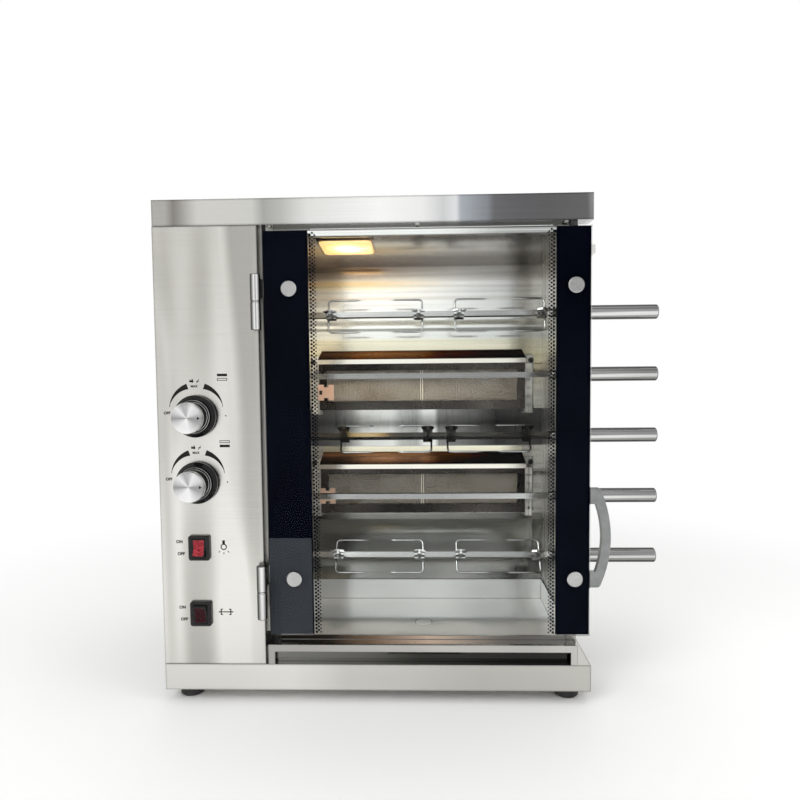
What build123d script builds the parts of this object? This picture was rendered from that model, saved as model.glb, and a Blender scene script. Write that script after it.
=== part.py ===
from build123d import *
import os
from math import asin, atan2, cos, degrees, pi, radians, sin, sqrt, tan

# Gas rotisserie oven with five geared spits. Millimetres, +X right, +Y back, +Z up.
# The origin is under the middle of the whole oven, on the surface that it stands on.

# Height stack, from the floor up
foot_height = 22.0
plinth_height = 43.5
recess_height = 21.0
lip_height = 12.0
door_gap_below = 14.0
door_height = 661.0
door_gap_above = 7.0
canopy_height = 41.5

# Widths, left to right
body_width = 700.0
control_width = 168.5
door_gap_left = 7.0
door_width = 523.0
body_inset = 20.0
right_wall_depth = 16.0
partition_gap = 3.5
handle_reach = 141.5

# Depths, front to back
body_depth = 400.0
knob_reach = 46.5
inlet_reach = 24.0
frame_set_back = 22.0
spit_set_back = 120.0
cavity_depth = 240.0

# Sheet metal
sheet = 1.5
liner = 1.2
flange = 15.0
panel_gap = 0.5

# Spits, forks and handles
spit_pitch = 108.0
middle_spit_height = 428.4
rod_size = 9.5
journal_diameter = 15.0
handle_diameter = 25.4
handle_wall = 1.5
handle_cap = 4.0
handle_gap = 14.0
engagement = 10.0
spit_travel = 11.0
spit_angles = [12.0, 0.0, 44.0, 0.0, 31.0]
fork_places = {
    1: [270.0, 424.5, 495.5, 641.0],
    3: [290.5, 439.0, 480.5, 614.0],
    5: [277.0, 422.5, 496.0, 632.5],
}
sleeve_length = 17.0
sleeve_size = 15.5
tine_span = 59.0
tine_length = 58.0
tine_diameter = 3.4
tine_bend = 7.0
tine_point = 8.0
wing_screw_length = 24.0

# Gear train
gear_module = 3.0
gear_teeth = 36
gear_width = 14.0
gear_set_in = 128.0
pressure_angle = 20.0
backlash = 0.5
shaft_diameter = 14.0
bush_diameter = 20.0
bush_flange = 26.0
socket_diameter = 24.0
gear_frame_set_in = 108.0
motor_diameter = 52.0
gearbox_diameter = 62.0
gearbox_length = 34.0

# Door
glass_thickness = 5.0
glass_set_back = 4.0
stile_depth = 12.0
cap_diameter = 25.0
cap_height = 4.5
bolt_diameter = 8.0
hinge_radius = 8.0
hinge_half = 44.0
hinge_pin_diameter = 9.0
washer_thickness = 1.5
bow_reach = 35.0
bow_height = 164.0
bow_thickness = 15.8
bow_depth = 11.0
bow_end = 18.0
bow_tab = 26.0
bow_inset = 10.5

# Knobs and switches
knob_diameter = 68.0
neck_diameter = 46.0
knob_cap_diameter = 49.5
knob_set_in = 64.0
knob_heights = {"upper": 477.0, "lower": 369.0}
knob_push = 3.0
spindle_diameter = 8.0
plug_diameter = 16.0
switch_set_in = 63.5
switch_heights = {"upper": 261.0, "lower": 151.5}
bezel_width = 35.0
bezel_height = 41.0
rocker_width = 21.0
rocker_height = 31.0
rocker_tilt = 10.0

# Burners
burner_heights = {"upper": 516.0, "lower": 317.0}
burner_width = 391.0
burner_height = 92.0
burner_depth = 62.0
burner_set_back = 200.0
plaque_height = 58.0
plaque_width = 180.5
plaque_gap = 1.5
plaque_thickness = 12.0
bracket_width = 22.0
bracket_strip = 15.0
bracket_height = 114.0
bracket_sheet = 2.0
pipe_diameter = 8.0
manifold_diameter = 16.0

# Sheet screws
screw_diameter = 4.0
screw_head = 8.0
screw_head_height = 2.4
screw_length = 9.0
upstand_height = 16.0

# Running and seating clearances
running = 0.05
seat = 0.3
slack = 0.6

# Places worked out from the sizes above
overall_width = screw_head_height + body_width + handle_reach
overall_depth = knob_reach + body_depth + inlet_reach
left = screw_head_height - overall_width / 2
right = left + body_width
front = knob_reach - overall_depth / 2
rear = front + body_depth
body_right = right - body_inset
cavity_left = left + control_width + partition_gap
cavity_right = body_right - right_wall_depth
door_left = left + control_width + door_gap_left
door_right = door_left + door_width
frame_y = front + frame_set_back
glass_y = front + glass_set_back
stile_y = glass_y + glass_thickness
spit_y = front + spit_set_back
cavity_back = front + cavity_depth
burner_y = front + burner_set_back

plinth_top = foot_height + plinth_height
lip_bottom = plinth_top + recess_height
lip_top = lip_bottom + lip_height
door_bottom = lip_top + door_gap_below
door_top = door_bottom + door_height
canopy_bottom = door_top + door_gap_above
canopy_top = canopy_bottom + canopy_height

spit_heights = {n: middle_spit_height + (3 - n) * spit_pitch for n in range(1, 6)}
hinge_heights = [door_bottom + 76.5, door_top - 115.5]
cap_heights = [door_bottom + 95.0, door_top - 94.0]
cap_places = [door_left + 42.0, door_right - 25.0]
pan_rim = lip_top + 30.0
pan_front_rim = lip_top + 8.0
ceiling_front = canopy_bottom - 16.0
ceiling_back = canopy_bottom - 34.5
burner_middle = cavity_left + 257.0


def slab(x, y, z, mode=Mode.ADD):
    """Add or cut a rectangular block that runs between the given pairs."""
    with Locations(((x[0] + x[1]) / 2, (y[0] + y[1]) / 2, (z[0] + z[1]) / 2)):
        Box(x[1] - x[0], y[1] - y[0], z[1] - z[0], mode=mode)


def along_x(x, y, z):
    """A plane that looks along +X, with its own axes along +Y and +Z."""
    return Plane(origin=(x, y, z), x_dir=(0, 1, 0), z_dir=(1, 0, 0))


def along_y(x, y, z):
    """A plane that looks along +Y, with its own axes along +X and -Z."""
    return Plane(origin=(x, y, z), x_dir=(1, 0, 0), z_dir=(0, 1, 0))


os.makedirs("parts", exist_ok=True)

# Screws that hold the covers: where each seats and which way its head faces
rear_screw_x = [left + 8, left + 170, left + 340, left + 510, body_right - 8]
side_screw_y = [front + 60, front + 200, front + 340]
edge_screw_z = [plinth_top + upstand_height / 2, canopy_bottom - upstand_height / 2]
under_screw_x = [left + 186, left + 424, left + 660]
screw_seats = [Plane(origin=(x, rear, z), z_dir=(0, 1, 0)) for x in rear_screw_x for z in edge_screw_z]
screw_seats += [Plane(origin=(left, y, z), z_dir=(-1, 0, 0)) for y in side_screw_y for z in edge_screw_z]
screw_seats += [Plane(origin=(body_right, y, z), z_dir=(1, 0, 0)) for y in side_screw_y for z in edge_screw_z]
screw_seats += [Plane(origin=(x, front + 14, canopy_bottom), z_dir=(0, 0, -1)) for x in under_screw_x]
with BuildPart() as screw:
    Cylinder(screw_head / 2, screw_head_height, align=(Align.CENTER, Align.CENTER, Align.MIN))
    fillet(screw.edges().sort_by(Axis.Z)[-1], 1.2)
    Cylinder(screw_diameter / 2, screw_length, align=(Align.CENTER, Align.CENTER, Align.MAX))
with BuildPart() as sheet_screws:
    with Locations(screw_seats):
        add(screw.part)
sheet_screws.part.label = "sheet_screws"
export_step(sheet_screws.part, "parts/sheet_screws.step")


def screw_holes():
    """Cut the clearance hole of every sheet screw out of the piece being made."""
    with Locations(screw_seats):
        Cylinder(screw_diameter / 2 + running, 2 * screw_length, mode=Mode.SUBTRACT)


def upstands(z):
    """Flanges inside the rear and side panels, which their screws go into."""
    slab((left + 20, body_right - 20), (rear - 2 * sheet, rear - sheet), z)
    for x in (left + sheet, body_right - 2 * sheet):
        slab((x, x + sheet), (front + 40, rear - 30), z)


# Base plinth: a closed folded box
with BuildPart() as base_plinth:
    slab((left, right), (front, rear), (foot_height, plinth_top))
    slab((left + sheet, right - sheet), (front + sheet, rear - sheet),
         (foot_height + sheet, plinth_top - sheet), Mode.SUBTRACT)
base_plinth.part.label = "base_plinth"
export_step(base_plinth.part, "parts/base_plinth.step")

# Flanges and the drip tray's two guide rails, each spot-welded to the top of the plinth
rail_x = [left + control_width + 15.5, cavity_right + 2.0]
rail_height = 8.0
tray_front = front + 12.0
tray_back = front + 300.0
with BuildPart() as plinth_angles:
    for x in rail_x:
        slab((x - sheet, x), (tray_front + 20, tray_back), (plinth_top, plinth_top + rail_height))
    upstands((plinth_top, plinth_top + upstand_height))
    screw_holes()
plinth_angles.part.label = "plinth_angles"
export_step(plinth_angles.part, "parts/plinth_angles.step")

# Rubber feet
foot_diameter = 40.0
foot_inset = 32.0
foot_set_back = 38.0
with BuildPart() as rubber_feet:
    for x in (left + foot_inset, right - foot_inset):
        for y in (front + foot_set_back, rear - foot_set_back):
            with Locations((x, y, foot_height / 2)):
                Cylinder(foot_diameter / 2, foot_height)
    chamfer(rubber_feet.edges().filter_by(GeomType.CIRCLE).group_by(Axis.Z)[0], 2.5)
    chamfer(rubber_feet.edges().filter_by(GeomType.CIRCLE).group_by(Axis.Z)[-1], 1.0)
rubber_feet.part.label = "rubber_feet"
export_step(rubber_feet.part, "parts/rubber_feet.step")

# Left side panel: a folded sheet with a flange on each edge
with BuildPart() as left_side_panel:
    slab((left, left + sheet), (frame_y, rear - sheet), (plinth_top, canopy_bottom))
    slab((left, left + flange), (frame_y, frame_y + sheet), (plinth_top, canopy_bottom))
    slab((left, left + flange), (rear - 2 * sheet, rear - sheet), (plinth_top, canopy_bottom))
    screw_holes()
left_side_panel.part.label = "left_side_panel"
export_step(left_side_panel.part, "parts/left_side_panel.step")

# Control panel: a shallow folded tray with holes for the spindles and switches
switch_body_width = 29.0
switch_body_height = 33.0
knob_x = left + knob_set_in
switch_x = left + switch_set_in
with BuildPart() as control_panel:
    panel_x = (left, left + control_width)
    panel_z = (plinth_top + panel_gap, canopy_bottom - panel_gap)
    slab(panel_x, (front, frame_y), panel_z)
    slab((panel_x[0] + sheet, panel_x[1] - sheet), (front + sheet, frame_y),
         (panel_z[0] + sheet, panel_z[1] - sheet), Mode.SUBTRACT)
    for z in knob_heights.values():
        with Locations(along_y(knob_x, front, z)):
            Cylinder(spindle_diameter / 2 + 2, 3 * sheet, mode=Mode.SUBTRACT)
    for z in switch_heights.values():
        slab((switch_x - switch_body_width / 2 - seat, switch_x + switch_body_width / 2 + seat),
             (front - sheet, front + 2 * sheet),
             (z - switch_body_height / 2 - seat, z + switch_body_height / 2 + seat), Mode.SUBTRACT)
control_panel.part.label = "control_panel"
export_step(control_panel.part, "parts/control_panel.step")

# Partition between the control housing and the cavity, with a bush hole at each spit
bush_hole = bush_diameter / 2 + running
partition_back = cavity_back + 10.0
landing_x = door_left + 14.5
with BuildPart() as partition_wall:
    slab((cavity_left, cavity_left + liner), (frame_y, partition_back), (plinth_top, canopy_bottom))
    slab((left + control_width - flange, landing_x), (frame_y, frame_y + sheet), (plinth_top, canopy_bottom))
    slab((cavity_left + liner, landing_x + 1), (frame_y - 1, frame_y + 2 * sheet), (plinth_top, lip_bottom),
         Mode.SUBTRACT)
    for z in spit_heights.values():
        with Locations(along_x(cavity_left, spit_y, z)):
            Cylinder(bush_hole, 4 * liner, mode=Mode.SUBTRACT)
partition_wall.part.label = "partition_wall"
export_step(partition_wall.part, "parts/partition_wall.step")

# Right walls: both skins have a slot from the front edge to each spit, so that a spit lifts out forwards
slot_width = journal_diameter + 2 * seat


def spit_slots(x):
    """Cut the five spit slots through everything between two x values."""
    for z in spit_heights.values():
        slab(x, (frame_y - sheet, spit_y), (z - slot_width / 2, z + slot_width / 2), Mode.SUBTRACT)
        with Locations(along_x((x[0] + x[1]) / 2, spit_y, z)):
            Cylinder(slot_width / 2, x[1] - x[0], mode=Mode.SUBTRACT)


with BuildPart() as right_side_panel:
    outer_x = (body_right - sheet, body_right)
    slab(outer_x, (frame_y, rear - sheet), (plinth_top, canopy_bottom))
    slab((cavity_right, body_right), (frame_y, frame_y + sheet), (lip_top, canopy_bottom))
    slab((body_right - flange, body_right), (rear - 2 * sheet, rear - sheet), (plinth_top, canopy_bottom))
    spit_slots((cavity_right - 1, body_right + 1))
    screw_holes()
right_side_panel.part.label = "right_side_panel"
export_step(right_side_panel.part, "parts/right_side_panel.step")

with BuildPart() as cavity_right_wall:
    slab((cavity_right, cavity_right + liner), (frame_y + sheet, cavity_back + liner),
         (lip_bottom, canopy_bottom))
    spit_slots((cavity_right - 1, cavity_right + liner + 1))
cavity_right_wall.part.label = "cavity_right_wall"
export_step(cavity_right_wall.part, "parts/cavity_right_wall.step")

# Rear panel, with louvre slots, the gas inlet hole and the cable gland hole
inlet_z = 300.0
gland_z = 120.0
gland_x = left + 110.0
louvre_length = 70.0
louvre_height = 5.0
with BuildPart() as rear_panel:
    slab((left, body_right), (rear - sheet, rear), (plinth_top, canopy_bottom))
    with Locations(along_y(left + 84, rear, canopy_bottom - 110), along_y(left + 84, rear, plinth_top + 150),
                   along_y(burner_middle, rear, canopy_bottom - 110),
                   along_y(burner_middle, rear, plinth_top + 150)):
        with GridLocations(louvre_length + 20, 3 * louvre_height, 1, 7):
            Box(louvre_length, louvre_height, 4 * sheet, mode=Mode.SUBTRACT)
    with Locations(along_y(knob_x, rear, inlet_z)):
        Cylinder(manifold_diameter / 2 + 2, 4 * sheet, mode=Mode.SUBTRACT)
    with Locations(along_y(gland_x, rear, gland_z)):
        Cylinder(8.3, 4 * sheet, mode=Mode.SUBTRACT)
    screw_holes()
rear_panel.part.label = "rear_panel"
export_step(rear_panel.part, "parts/rear_panel.step")

# Cable gland for the lamp and motor supply: a flange, a nut and a domed nose round a blind bore
with BuildPart() as cable_gland:
    with Locations(Plane(origin=(gland_x, rear, gland_z), z_dir=(0, 1, 0))):
        Cylinder(12, 4, align=(Align.CENTER, Align.CENTER, Align.MIN))
        Cylinder(8, 8, align=(Align.CENTER, Align.CENTER, Align.MAX))
    with Locations(Plane(origin=(gland_x, rear + 4, gland_z), z_dir=(0, 1, 0))):
        Cylinder(9.5, 12, align=(Align.CENTER, Align.CENTER, Align.MIN))
    fillet(cable_gland.edges().filter_by(GeomType.CIRCLE).sort_by(Axis.Y)[-1], 3)
    with Locations(Plane(origin=(gland_x, rear + 16, gland_z), z_dir=(0, 1, 0))):
        Cylinder(4, 10, align=(Align.CENTER, Align.CENTER, Align.MAX), mode=Mode.SUBTRACT)
cable_gland.part.label = "cable_gland"
export_step(cable_gland.part, "parts/cable_gland.step")

# Canopy: a closed folded cover with flue slots in its top and a way in for the lamp housing
lamp_x = left + 303.5
lamp_y = front + 84.0
lamp_width = 80.0
lamp_depth = 76.0
lamp_lean = 4.0
with BuildPart() as canopy:
    slab((left, right), (front, rear), (canopy_bottom, canopy_top))
    fillet(canopy.edges().filter_by(Axis.Z), 1.2)
    slab((left + sheet, right - sheet), (front + sheet, rear - sheet),
         (canopy_bottom + sheet, canopy_top - sheet), Mode.SUBTRACT)
    slab((lamp_x - lamp_width / 2 - slack, lamp_x + lamp_width / 2 + slack),
         (lamp_y - lamp_depth / 2 - slack, lamp_y + lamp_depth / 2 + lamp_lean),
         (canopy_bottom - 1, canopy_bottom + 2 * sheet), Mode.SUBTRACT)
    with Locations((burner_middle, rear - 70, canopy_top)):
        with GridLocations(louvre_length + 20, 3 * louvre_height, 5, 4):
            Box(louvre_length, louvre_height, 4 * sheet, mode=Mode.SUBTRACT)
    upstands((canopy_bottom - upstand_height, canopy_bottom))
    screw_holes()
canopy.part.label = "canopy"
export_step(canopy.part, "parts/canopy.step")

# Cavity ceiling: slopes down to the back, with the top front rail folded from the same sheet
ceiling_y = (frame_y + sheet, cavity_back)
ceiling_slope = atan2(ceiling_front - ceiling_back, ceiling_y[1] - ceiling_y[0])
lamp_z = ceiling_front - (lamp_y - ceiling_y[0]) * tan(ceiling_slope)
lamp_plane = Plane(origin=(lamp_x, lamp_y, lamp_z), x_dir=(1, 0, 0),
                   z_dir=(0, -sin(ceiling_slope), -cos(ceiling_slope)))
ceiling_x = (cavity_left + liner, cavity_right)
with BuildPart() as cavity_ceiling:
    with BuildSketch(Plane.YZ.offset(ceiling_x[0])) as ceiling_profile:
        with BuildLine():
            Polyline((ceiling_y[0], ceiling_front), (ceiling_y[1], ceiling_back),
                     (ceiling_y[1], ceiling_back + liner), (ceiling_y[0], ceiling_front + liner), close=True)
        make_face()
    extrude(amount=ceiling_x[1] - ceiling_x[0])
    slab((landing_x, cavity_right), (frame_y, frame_y + sheet), (ceiling_front, canopy_bottom))
    slab((landing_x, cavity_right), (frame_y, frame_y + 18), (canopy_bottom - liner, canopy_bottom))
    with Locations(lamp_plane):
        Box(lamp_width + 2 * slack, lamp_depth + 2 * slack, 12, mode=Mode.SUBTRACT)
cavity_ceiling.part.label = "cavity_ceiling"
export_step(cavity_ceiling.part, "parts/cavity_ceiling.step")

# Oven lamp: an open-fronted steel box with a trim flange under the ceiling, and its glass
lamp_height = 30.0
lamp_trim = 7.0
lamp_wall = 1.5
with BuildPart() as lamp_housing:
    with Locations(lamp_plane):
        Box(lamp_width + 2 * lamp_trim, lamp_depth + 2 * lamp_trim, 2,
            align=(Align.CENTER, Align.CENTER, Align.MIN))
        Box(lamp_width, lamp_depth, lamp_height, align=(Align.CENTER, Align.CENTER, Align.MAX))
        with Locations((0, 0, 2)):
            Box(lamp_width - 2 * lamp_wall, lamp_depth - 2 * lamp_wall, lamp_height - lamp_wall + 2,
                align=(Align.CENTER, Align.CENTER, Align.MAX), mode=Mode.SUBTRACT)
lamp_housing.part.label = "lamp_housing"
export_step(lamp_housing.part, "parts/lamp_housing.step")

with BuildPart() as lamp_glass:
    with Locations(lamp_plane):
        Box(lamp_width - 2 * lamp_wall - 0.4, lamp_depth - 2 * lamp_wall - 0.4, 3)
    chamfer(lamp_glass.edges(), 0.4)
lamp_glass.part.label = "lamp_glass"
export_step(lamp_glass.part, "parts/lamp_glass.step")

# Cavity back wall, with an opening for each burner and a raised polished plate between the two
reflector_top = burner_heights["lower"] - bracket_height / 2 - 3
back_x = (cavity_left + liner, cavity_right)
hood_tab_top = 78.0
plate_thickness = 2.0
with BuildPart() as cavity_back_wall:
    slab(back_x, (cavity_back, cavity_back + liner), (reflector_top - 20, ceiling_back + liner))
    for z in burner_heights.values():
        slab((burner_middle - burner_width / 2 - slack, burner_middle + burner_width / 2 + slack),
             (cavity_back - 1, cavity_back + liner + 1),
             (z - burner_height / 2 - slack, z + burner_height / 2 + slack), Mode.SUBTRACT)
    slab((burner_middle - burner_width / 2, burner_middle + burner_width / 2),
         (cavity_back - plate_thickness, cavity_back),
         (burner_heights["lower"] + hood_tab_top + 1, burner_heights["upper"] - burner_height / 2 - 1))
cavity_back_wall.part.label = "cavity_back_wall"
export_step(cavity_back_wall.part, "parts/cavity_back_wall.step")

# Curved lower reflector: foot under the grease pan, a facet over the pan's rim, then an arc up to the burner
pan_back = cavity_back - 2.0
pan_floor = lip_bottom + sheet
reflector_foot = 12.0
facet_rise = 12.0
with BuildPart() as lower_reflector:
    with BuildSketch(Plane.YZ.offset(back_x[0])) as reflector_profile:
        with BuildLine() as reflector_line:
            foot = Line((pan_back - reflector_foot, pan_floor), (cavity_back, pan_floor))
            rise = Line(foot @ 1, (cavity_back, pan_rim))
            facet = Line(rise @ 1, (cavity_back + 8, pan_rim + facet_rise))
            bowl = SagittaArc(facet @ 1, (burner_y + 14, reflector_top - 2), -14)
            lip = Line(bowl @ 1, (cavity_back, reflector_top - 2))
            offset(amount=liner, side=Side.RIGHT)
        make_face()
    extrude(amount=back_x[1] - back_x[0])
lower_reflector.part.label = "lower_reflector"
export_step(lower_reflector.part, "parts/lower_reflector.step")

# Sill: the lip at the front, the step back to the frame, its upstand, and a leg at each end
sill_x = (left + control_width + 4.2, body_right - 1.5)
with BuildPart() as sill_lip:
    slab(sill_x, (front, front + sheet), (lip_bottom, lip_top))
    slab(sill_x, (front, frame_y), (lip_top - sheet, lip_top))
    slab((landing_x, cavity_right), (frame_y, frame_y + sheet), (lip_top - sheet, pan_front_rim))
    slab((landing_x, cavity_right), (front, frame_y + 14), (lip_bottom, lip_bottom + sheet))
    slab((sill_x[0], sill_x[0] + 11), (front, frame_y), (plinth_top, lip_bottom + sheet))
    slab((sill_x[1] - 11, sill_x[1]), (front, frame_y), (plinth_top, lip_bottom + sheet))
sill_lip.part.label = "sill_lip"
export_step(sill_lip.part, "parts/sill_lip.step")

# Grease pan: low at the front behind the sill, high at the back, with a drain over the drip tray
pan_x = (cavity_left + liner + 1, cavity_right - 1)
pan_y = (frame_y + sheet + 0.5, pan_back)
drain_diameter = 30.0
with BuildPart() as grease_pan:
    slab(pan_x, pan_y, (pan_floor, pan_rim))
    slab((pan_x[0] + liner, pan_x[1] - liner), (pan_y[0] + liner, pan_y[1] - liner),
         (pan_floor + liner, pan_rim + 1), Mode.SUBTRACT)
    slab((pan_x[0] - 1, pan_x[1] + 1), (pan_y[0] - 1, pan_y[0] + liner), (pan_front_rim, pan_rim + 1),
         Mode.SUBTRACT)
    with Locations((burner_middle, spit_y, pan_floor)):
        Cylinder(drain_diameter / 2, 3 * liner, mode=Mode.SUBTRACT)
grease_pan.part.label = "grease_pan"
export_step(grease_pan.part, "parts/grease_pan.step")

# Drip tray: a shallow drawer in the recess, between the guide rails, with a finger lip
tray_x = (rail_x[0] + slack, rail_x[1] - sheet - slack)
tray_height = 17.0
tray_floor = plinth_top + seat
with BuildPart() as drip_tray:
    slab(tray_x, (tray_front, tray_back), (tray_floor, tray_floor + tray_height))
    slab((tray_x[0] + liner, tray_x[1] - liner), (tray_front + liner, tray_back - liner),
         (tray_floor + liner, tray_floor + tray_height + 1), Mode.SUBTRACT)
    slab((burner_middle - 60, burner_middle + 60), (tray_front - 8, tray_front),
         (tray_floor + tray_height - 2, tray_floor + tray_height))
drip_tray.part.label = "drip_tray"
export_step(drip_tray.part, "parts/drip_tray.step")

# Burners: open-fronted housings with a venturi at the back; tiles, hoods and end brackets are separate
venturi_x = burner_middle - 60.0
venturi_bore = 16.0
venturi_length = 40.0
plaque_recess = 6.0
tiles_width = 2 * plaque_width + plaque_gap
with BuildPart() as burner_housings:
    for z in burner_heights.values():
        slab((burner_middle - burner_width / 2, burner_middle + burner_width / 2),
             (burner_y, burner_y + burner_depth), (z - burner_height / 2, z + burner_height / 2))
        slab((burner_middle - tiles_width / 2 - seat, burner_middle + tiles_width / 2 + seat),
             (burner_y - 1, burner_y + plaque_recess + plaque_thickness),
             (z - plaque_height / 2 - seat, z + plaque_height / 2 + seat), Mode.SUBTRACT)
        slab((burner_middle - tiles_width / 2 + 6, burner_middle + tiles_width / 2 - 6),
             (burner_y, burner_y + burner_depth - 2), (z - plaque_height / 2 + 6, z + plaque_height / 2 - 6),
             Mode.SUBTRACT)
        with Locations(Plane(origin=(venturi_x, burner_y + burner_depth, z), z_dir=(0, 1, 0))):
            Cylinder(venturi_bore / 2 + 3, venturi_length, align=(Align.CENTER, Align.CENTER, Align.MIN))
            Cylinder(venturi_bore / 2, 2 * venturi_length + 10, mode=Mode.SUBTRACT)
burner_housings.part.label = "burner_housings"
export_step(burner_housings.part, "parts/burner_housings.step")

with BuildPart() as burner_plaques:
    for z in burner_heights.values():
        for side in (-1, 1):
            middle = burner_middle + side * (plaque_width + plaque_gap) / 2
            slab((middle - plaque_width / 2, middle + plaque_width / 2),
                 (burner_y + plaque_recess, burner_y + plaque_recess + plaque_thickness),
                 (z - plaque_height / 2, z + plaque_height / 2))
burner_plaques.part.label = "burner_plaques"
export_step(burner_plaques.part, "parts/burner_plaques.step")

# Hood over each burner: from the back wall it slopes forward and down to a small lip
hood_reach = 14.0
hood_width = burner_width
with BuildPart() as burner_hoods:
    for z in burner_heights.values():
        with BuildSketch(Plane.YZ.offset(burner_middle - hood_width / 2)) as hood_profile:
            with BuildLine() as hood_line:
                wall_tab = Line((cavity_back, z + hood_tab_top), (cavity_back, z + hood_tab_top - 12))
                slope = Line(wall_tab @ 1, (burner_y - hood_reach, z + 50))
                turn_down = Line(slope @ 1, (burner_y - hood_reach, z + 42))
                offset(amount=liner, side=Side.RIGHT)
            make_face()
        extrude(amount=hood_width)
burner_hoods.part.label = "burner_hoods"
export_step(burner_hoods.part, "parts/burner_hoods.step")

# End brackets: a plate on the wall and a strip that stands out from it, beside both ends of both burners
with BuildPart() as burner_brackets:
    for z in burner_heights.values():
        for side in (-1, 1):
            inner = burner_middle + side * burner_width / 2
            outer = inner + side * bracket_width
            x = (min(inner, outer), max(inner, outer))
            strip = (min(inner, inner + side * bracket_strip), max(inner, inner + side * bracket_strip))
            slab(x, (cavity_back - bracket_sheet, cavity_back),
                 (z - bracket_height / 2, z + bracket_height / 2))
            for leg in (z - bracket_height / 2 + 4, z + bracket_height / 2 - 18):
                slab(strip, (burner_y + 4, cavity_back), (leg, leg + bracket_sheet))
            slab(strip, (burner_y + 4, burner_y + 4 + bracket_sheet),
                 (z - bracket_height / 2 + 4, z + bracket_height / 2 - 16))
            for step in range(-2, 3):
                with Locations(along_y((strip[0] + strip[1]) / 2, burner_y + 4, z + 16 * step - 6)):
                    Cylinder(2.6, 3 * bracket_sheet, mode=Mode.SUBTRACT)
burner_brackets.part.label = "burner_brackets"
export_step(burner_brackets.part, "parts/burner_brackets.step")

# Igniter clips: an H-shaped strap across the left end of each burner, with its electrode
igniter_x = burner_middle - burner_width / 2 + 13.0
igniter_size = 30.0
igniter_sheet = 1.5
with BuildPart() as igniters:
    for z in burner_heights.values():
        low = z - 27
        slab((igniter_x - igniter_size / 2, igniter_x + igniter_size / 2),
             (burner_y - igniter_sheet - 3, burner_y - 3), (low, low + igniter_size))
        for end in (low, low + igniter_size):
            slab((igniter_x - 4, igniter_x + 5), (burner_y - 8, burner_y - 1), (end - 5, end + 5),
                 Mode.SUBTRACT)
        slab((igniter_x - igniter_size / 2 + 2, igniter_x - igniter_size / 2 + 8),
             (burner_y - 8, burner_y - 1),
             (low + 11, low + 19), Mode.SUBTRACT)
        slab((igniter_x - 3, igniter_x + 3), (burner_y - 3, burner_y), (low + 10, low + 20))
igniters.part.label = "igniters"
export_step(igniters.part, "parts/igniters.step")

# Gas valves: a block behind each knob, with a bore for the turning plug and one for its spindle
valve_size = 40.0
valve_height = 36.0
valve_depth = 60.0
plug_start = 18.0
plug_length = 30.0
with BuildPart() as gas_valves:
    for z in knob_heights.values():
        slab((knob_x - valve_size / 2, knob_x + valve_size / 2), (front + sheet, front + sheet + valve_depth),
             (z - valve_height / 2, z + valve_height / 2))
        with Locations(Plane(origin=(knob_x, front, z), z_dir=(0, 1, 0))):
            Cylinder(spindle_diameter / 2 + 0.5, 2 * plug_start + 2, mode=Mode.SUBTRACT)
            with Locations((0, 0, plug_start)):
                Cylinder(plug_diameter / 2, plug_length, align=(Align.CENTER, Align.CENTER, Align.MIN),
                         mode=Mode.SUBTRACT)
    fillet(gas_valves.edges().filter_by(Axis.Y).group_by(SortBy.LENGTH)[-1], 4)
gas_valves.part.label = "gas_valves"
export_step(gas_valves.part, "parts/gas_valves.step")

# Manifold: a pipe behind both valves that turns back to the threaded inlet in the rear panel
manifold_y = front + sheet + valve_depth + 12.0
inlet_bend = 30.0
with BuildPart() as gas_manifold:
    with BuildLine() as manifold_line:
        FilletPolyline((knob_x, manifold_y, knob_heights["upper"] + 20), (knob_x, manifold_y, inlet_z),
                       (knob_x, rear + inlet_reach, inlet_z), radius=inlet_bend)
    with BuildSketch(Plane(origin=manifold_line.line @ 0, z_dir=manifold_line.line % 0)) as manifold_round:
        Circle(manifold_diameter / 2)
    sweep()
    for z in knob_heights.values():
        slab((knob_x - 9, knob_x + 9), (front + sheet + valve_depth, manifold_y), (z - 9, z + 9))
    with BuildSketch(Plane(origin=(knob_x, rear + 4, inlet_z), z_dir=(0, 1, 0))) as inlet_hexagon:
        RegularPolygon(15, 6)
    extrude(amount=7)
    with Locations(Plane(origin=(knob_x, rear + inlet_reach, inlet_z), z_dir=(0, 1, 0))):
        Cylinder(manifold_diameter / 2 - 3, 120, mode=Mode.SUBTRACT)
gas_manifold.part.label = "gas_manifold"
export_step(gas_manifold.part, "parts/gas_manifold.step")

# Burner pipes: from each valve's side, back over or under the gearbox, and across into the burner's venturi
pipe_x = knob_x + valve_size / 2 + 14.0
pipe_back = burner_y + burner_depth + venturi_length + 22.0
pipe_bypass = {"upper": gearbox_diameter / 2 + 26, "lower": -gearbox_diameter / 2 - 26}
injector_diameter = 12.0
with BuildPart() as burner_pipes:
    for name in burner_heights:
        valve_z = knob_heights[name]
        z = burner_heights[name]
        tip = (venturi_x, burner_y + burner_depth + venturi_length - 10, z)
        with BuildLine() as pipe_line:
            FilletPolyline((knob_x + valve_size / 2, front + 46, valve_z), (pipe_x, front + 46, valve_z),
                           (pipe_x, spit_y - 40, middle_spit_height + pipe_bypass[name]),
                           (pipe_x, spit_y + 40, middle_spit_height + pipe_bypass[name]),
                           (pipe_x, pipe_back, z), (venturi_x, pipe_back, z), tip, radius=9)
        with BuildSketch(Plane(origin=pipe_line.line @ 0, z_dir=pipe_line.line % 0)) as pipe_round:
            Circle(pipe_diameter / 2)
        sweep()
        with Locations(Plane(origin=tip, z_dir=(0, 1, 0))):
            Cylinder(injector_diameter / 2, 14, align=(Align.CENTER, Align.CENTER, Align.MIN))
burner_pipes.part.label = "burner_pipes"
export_step(burner_pipes.part, "parts/burner_pipes.step")

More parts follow.
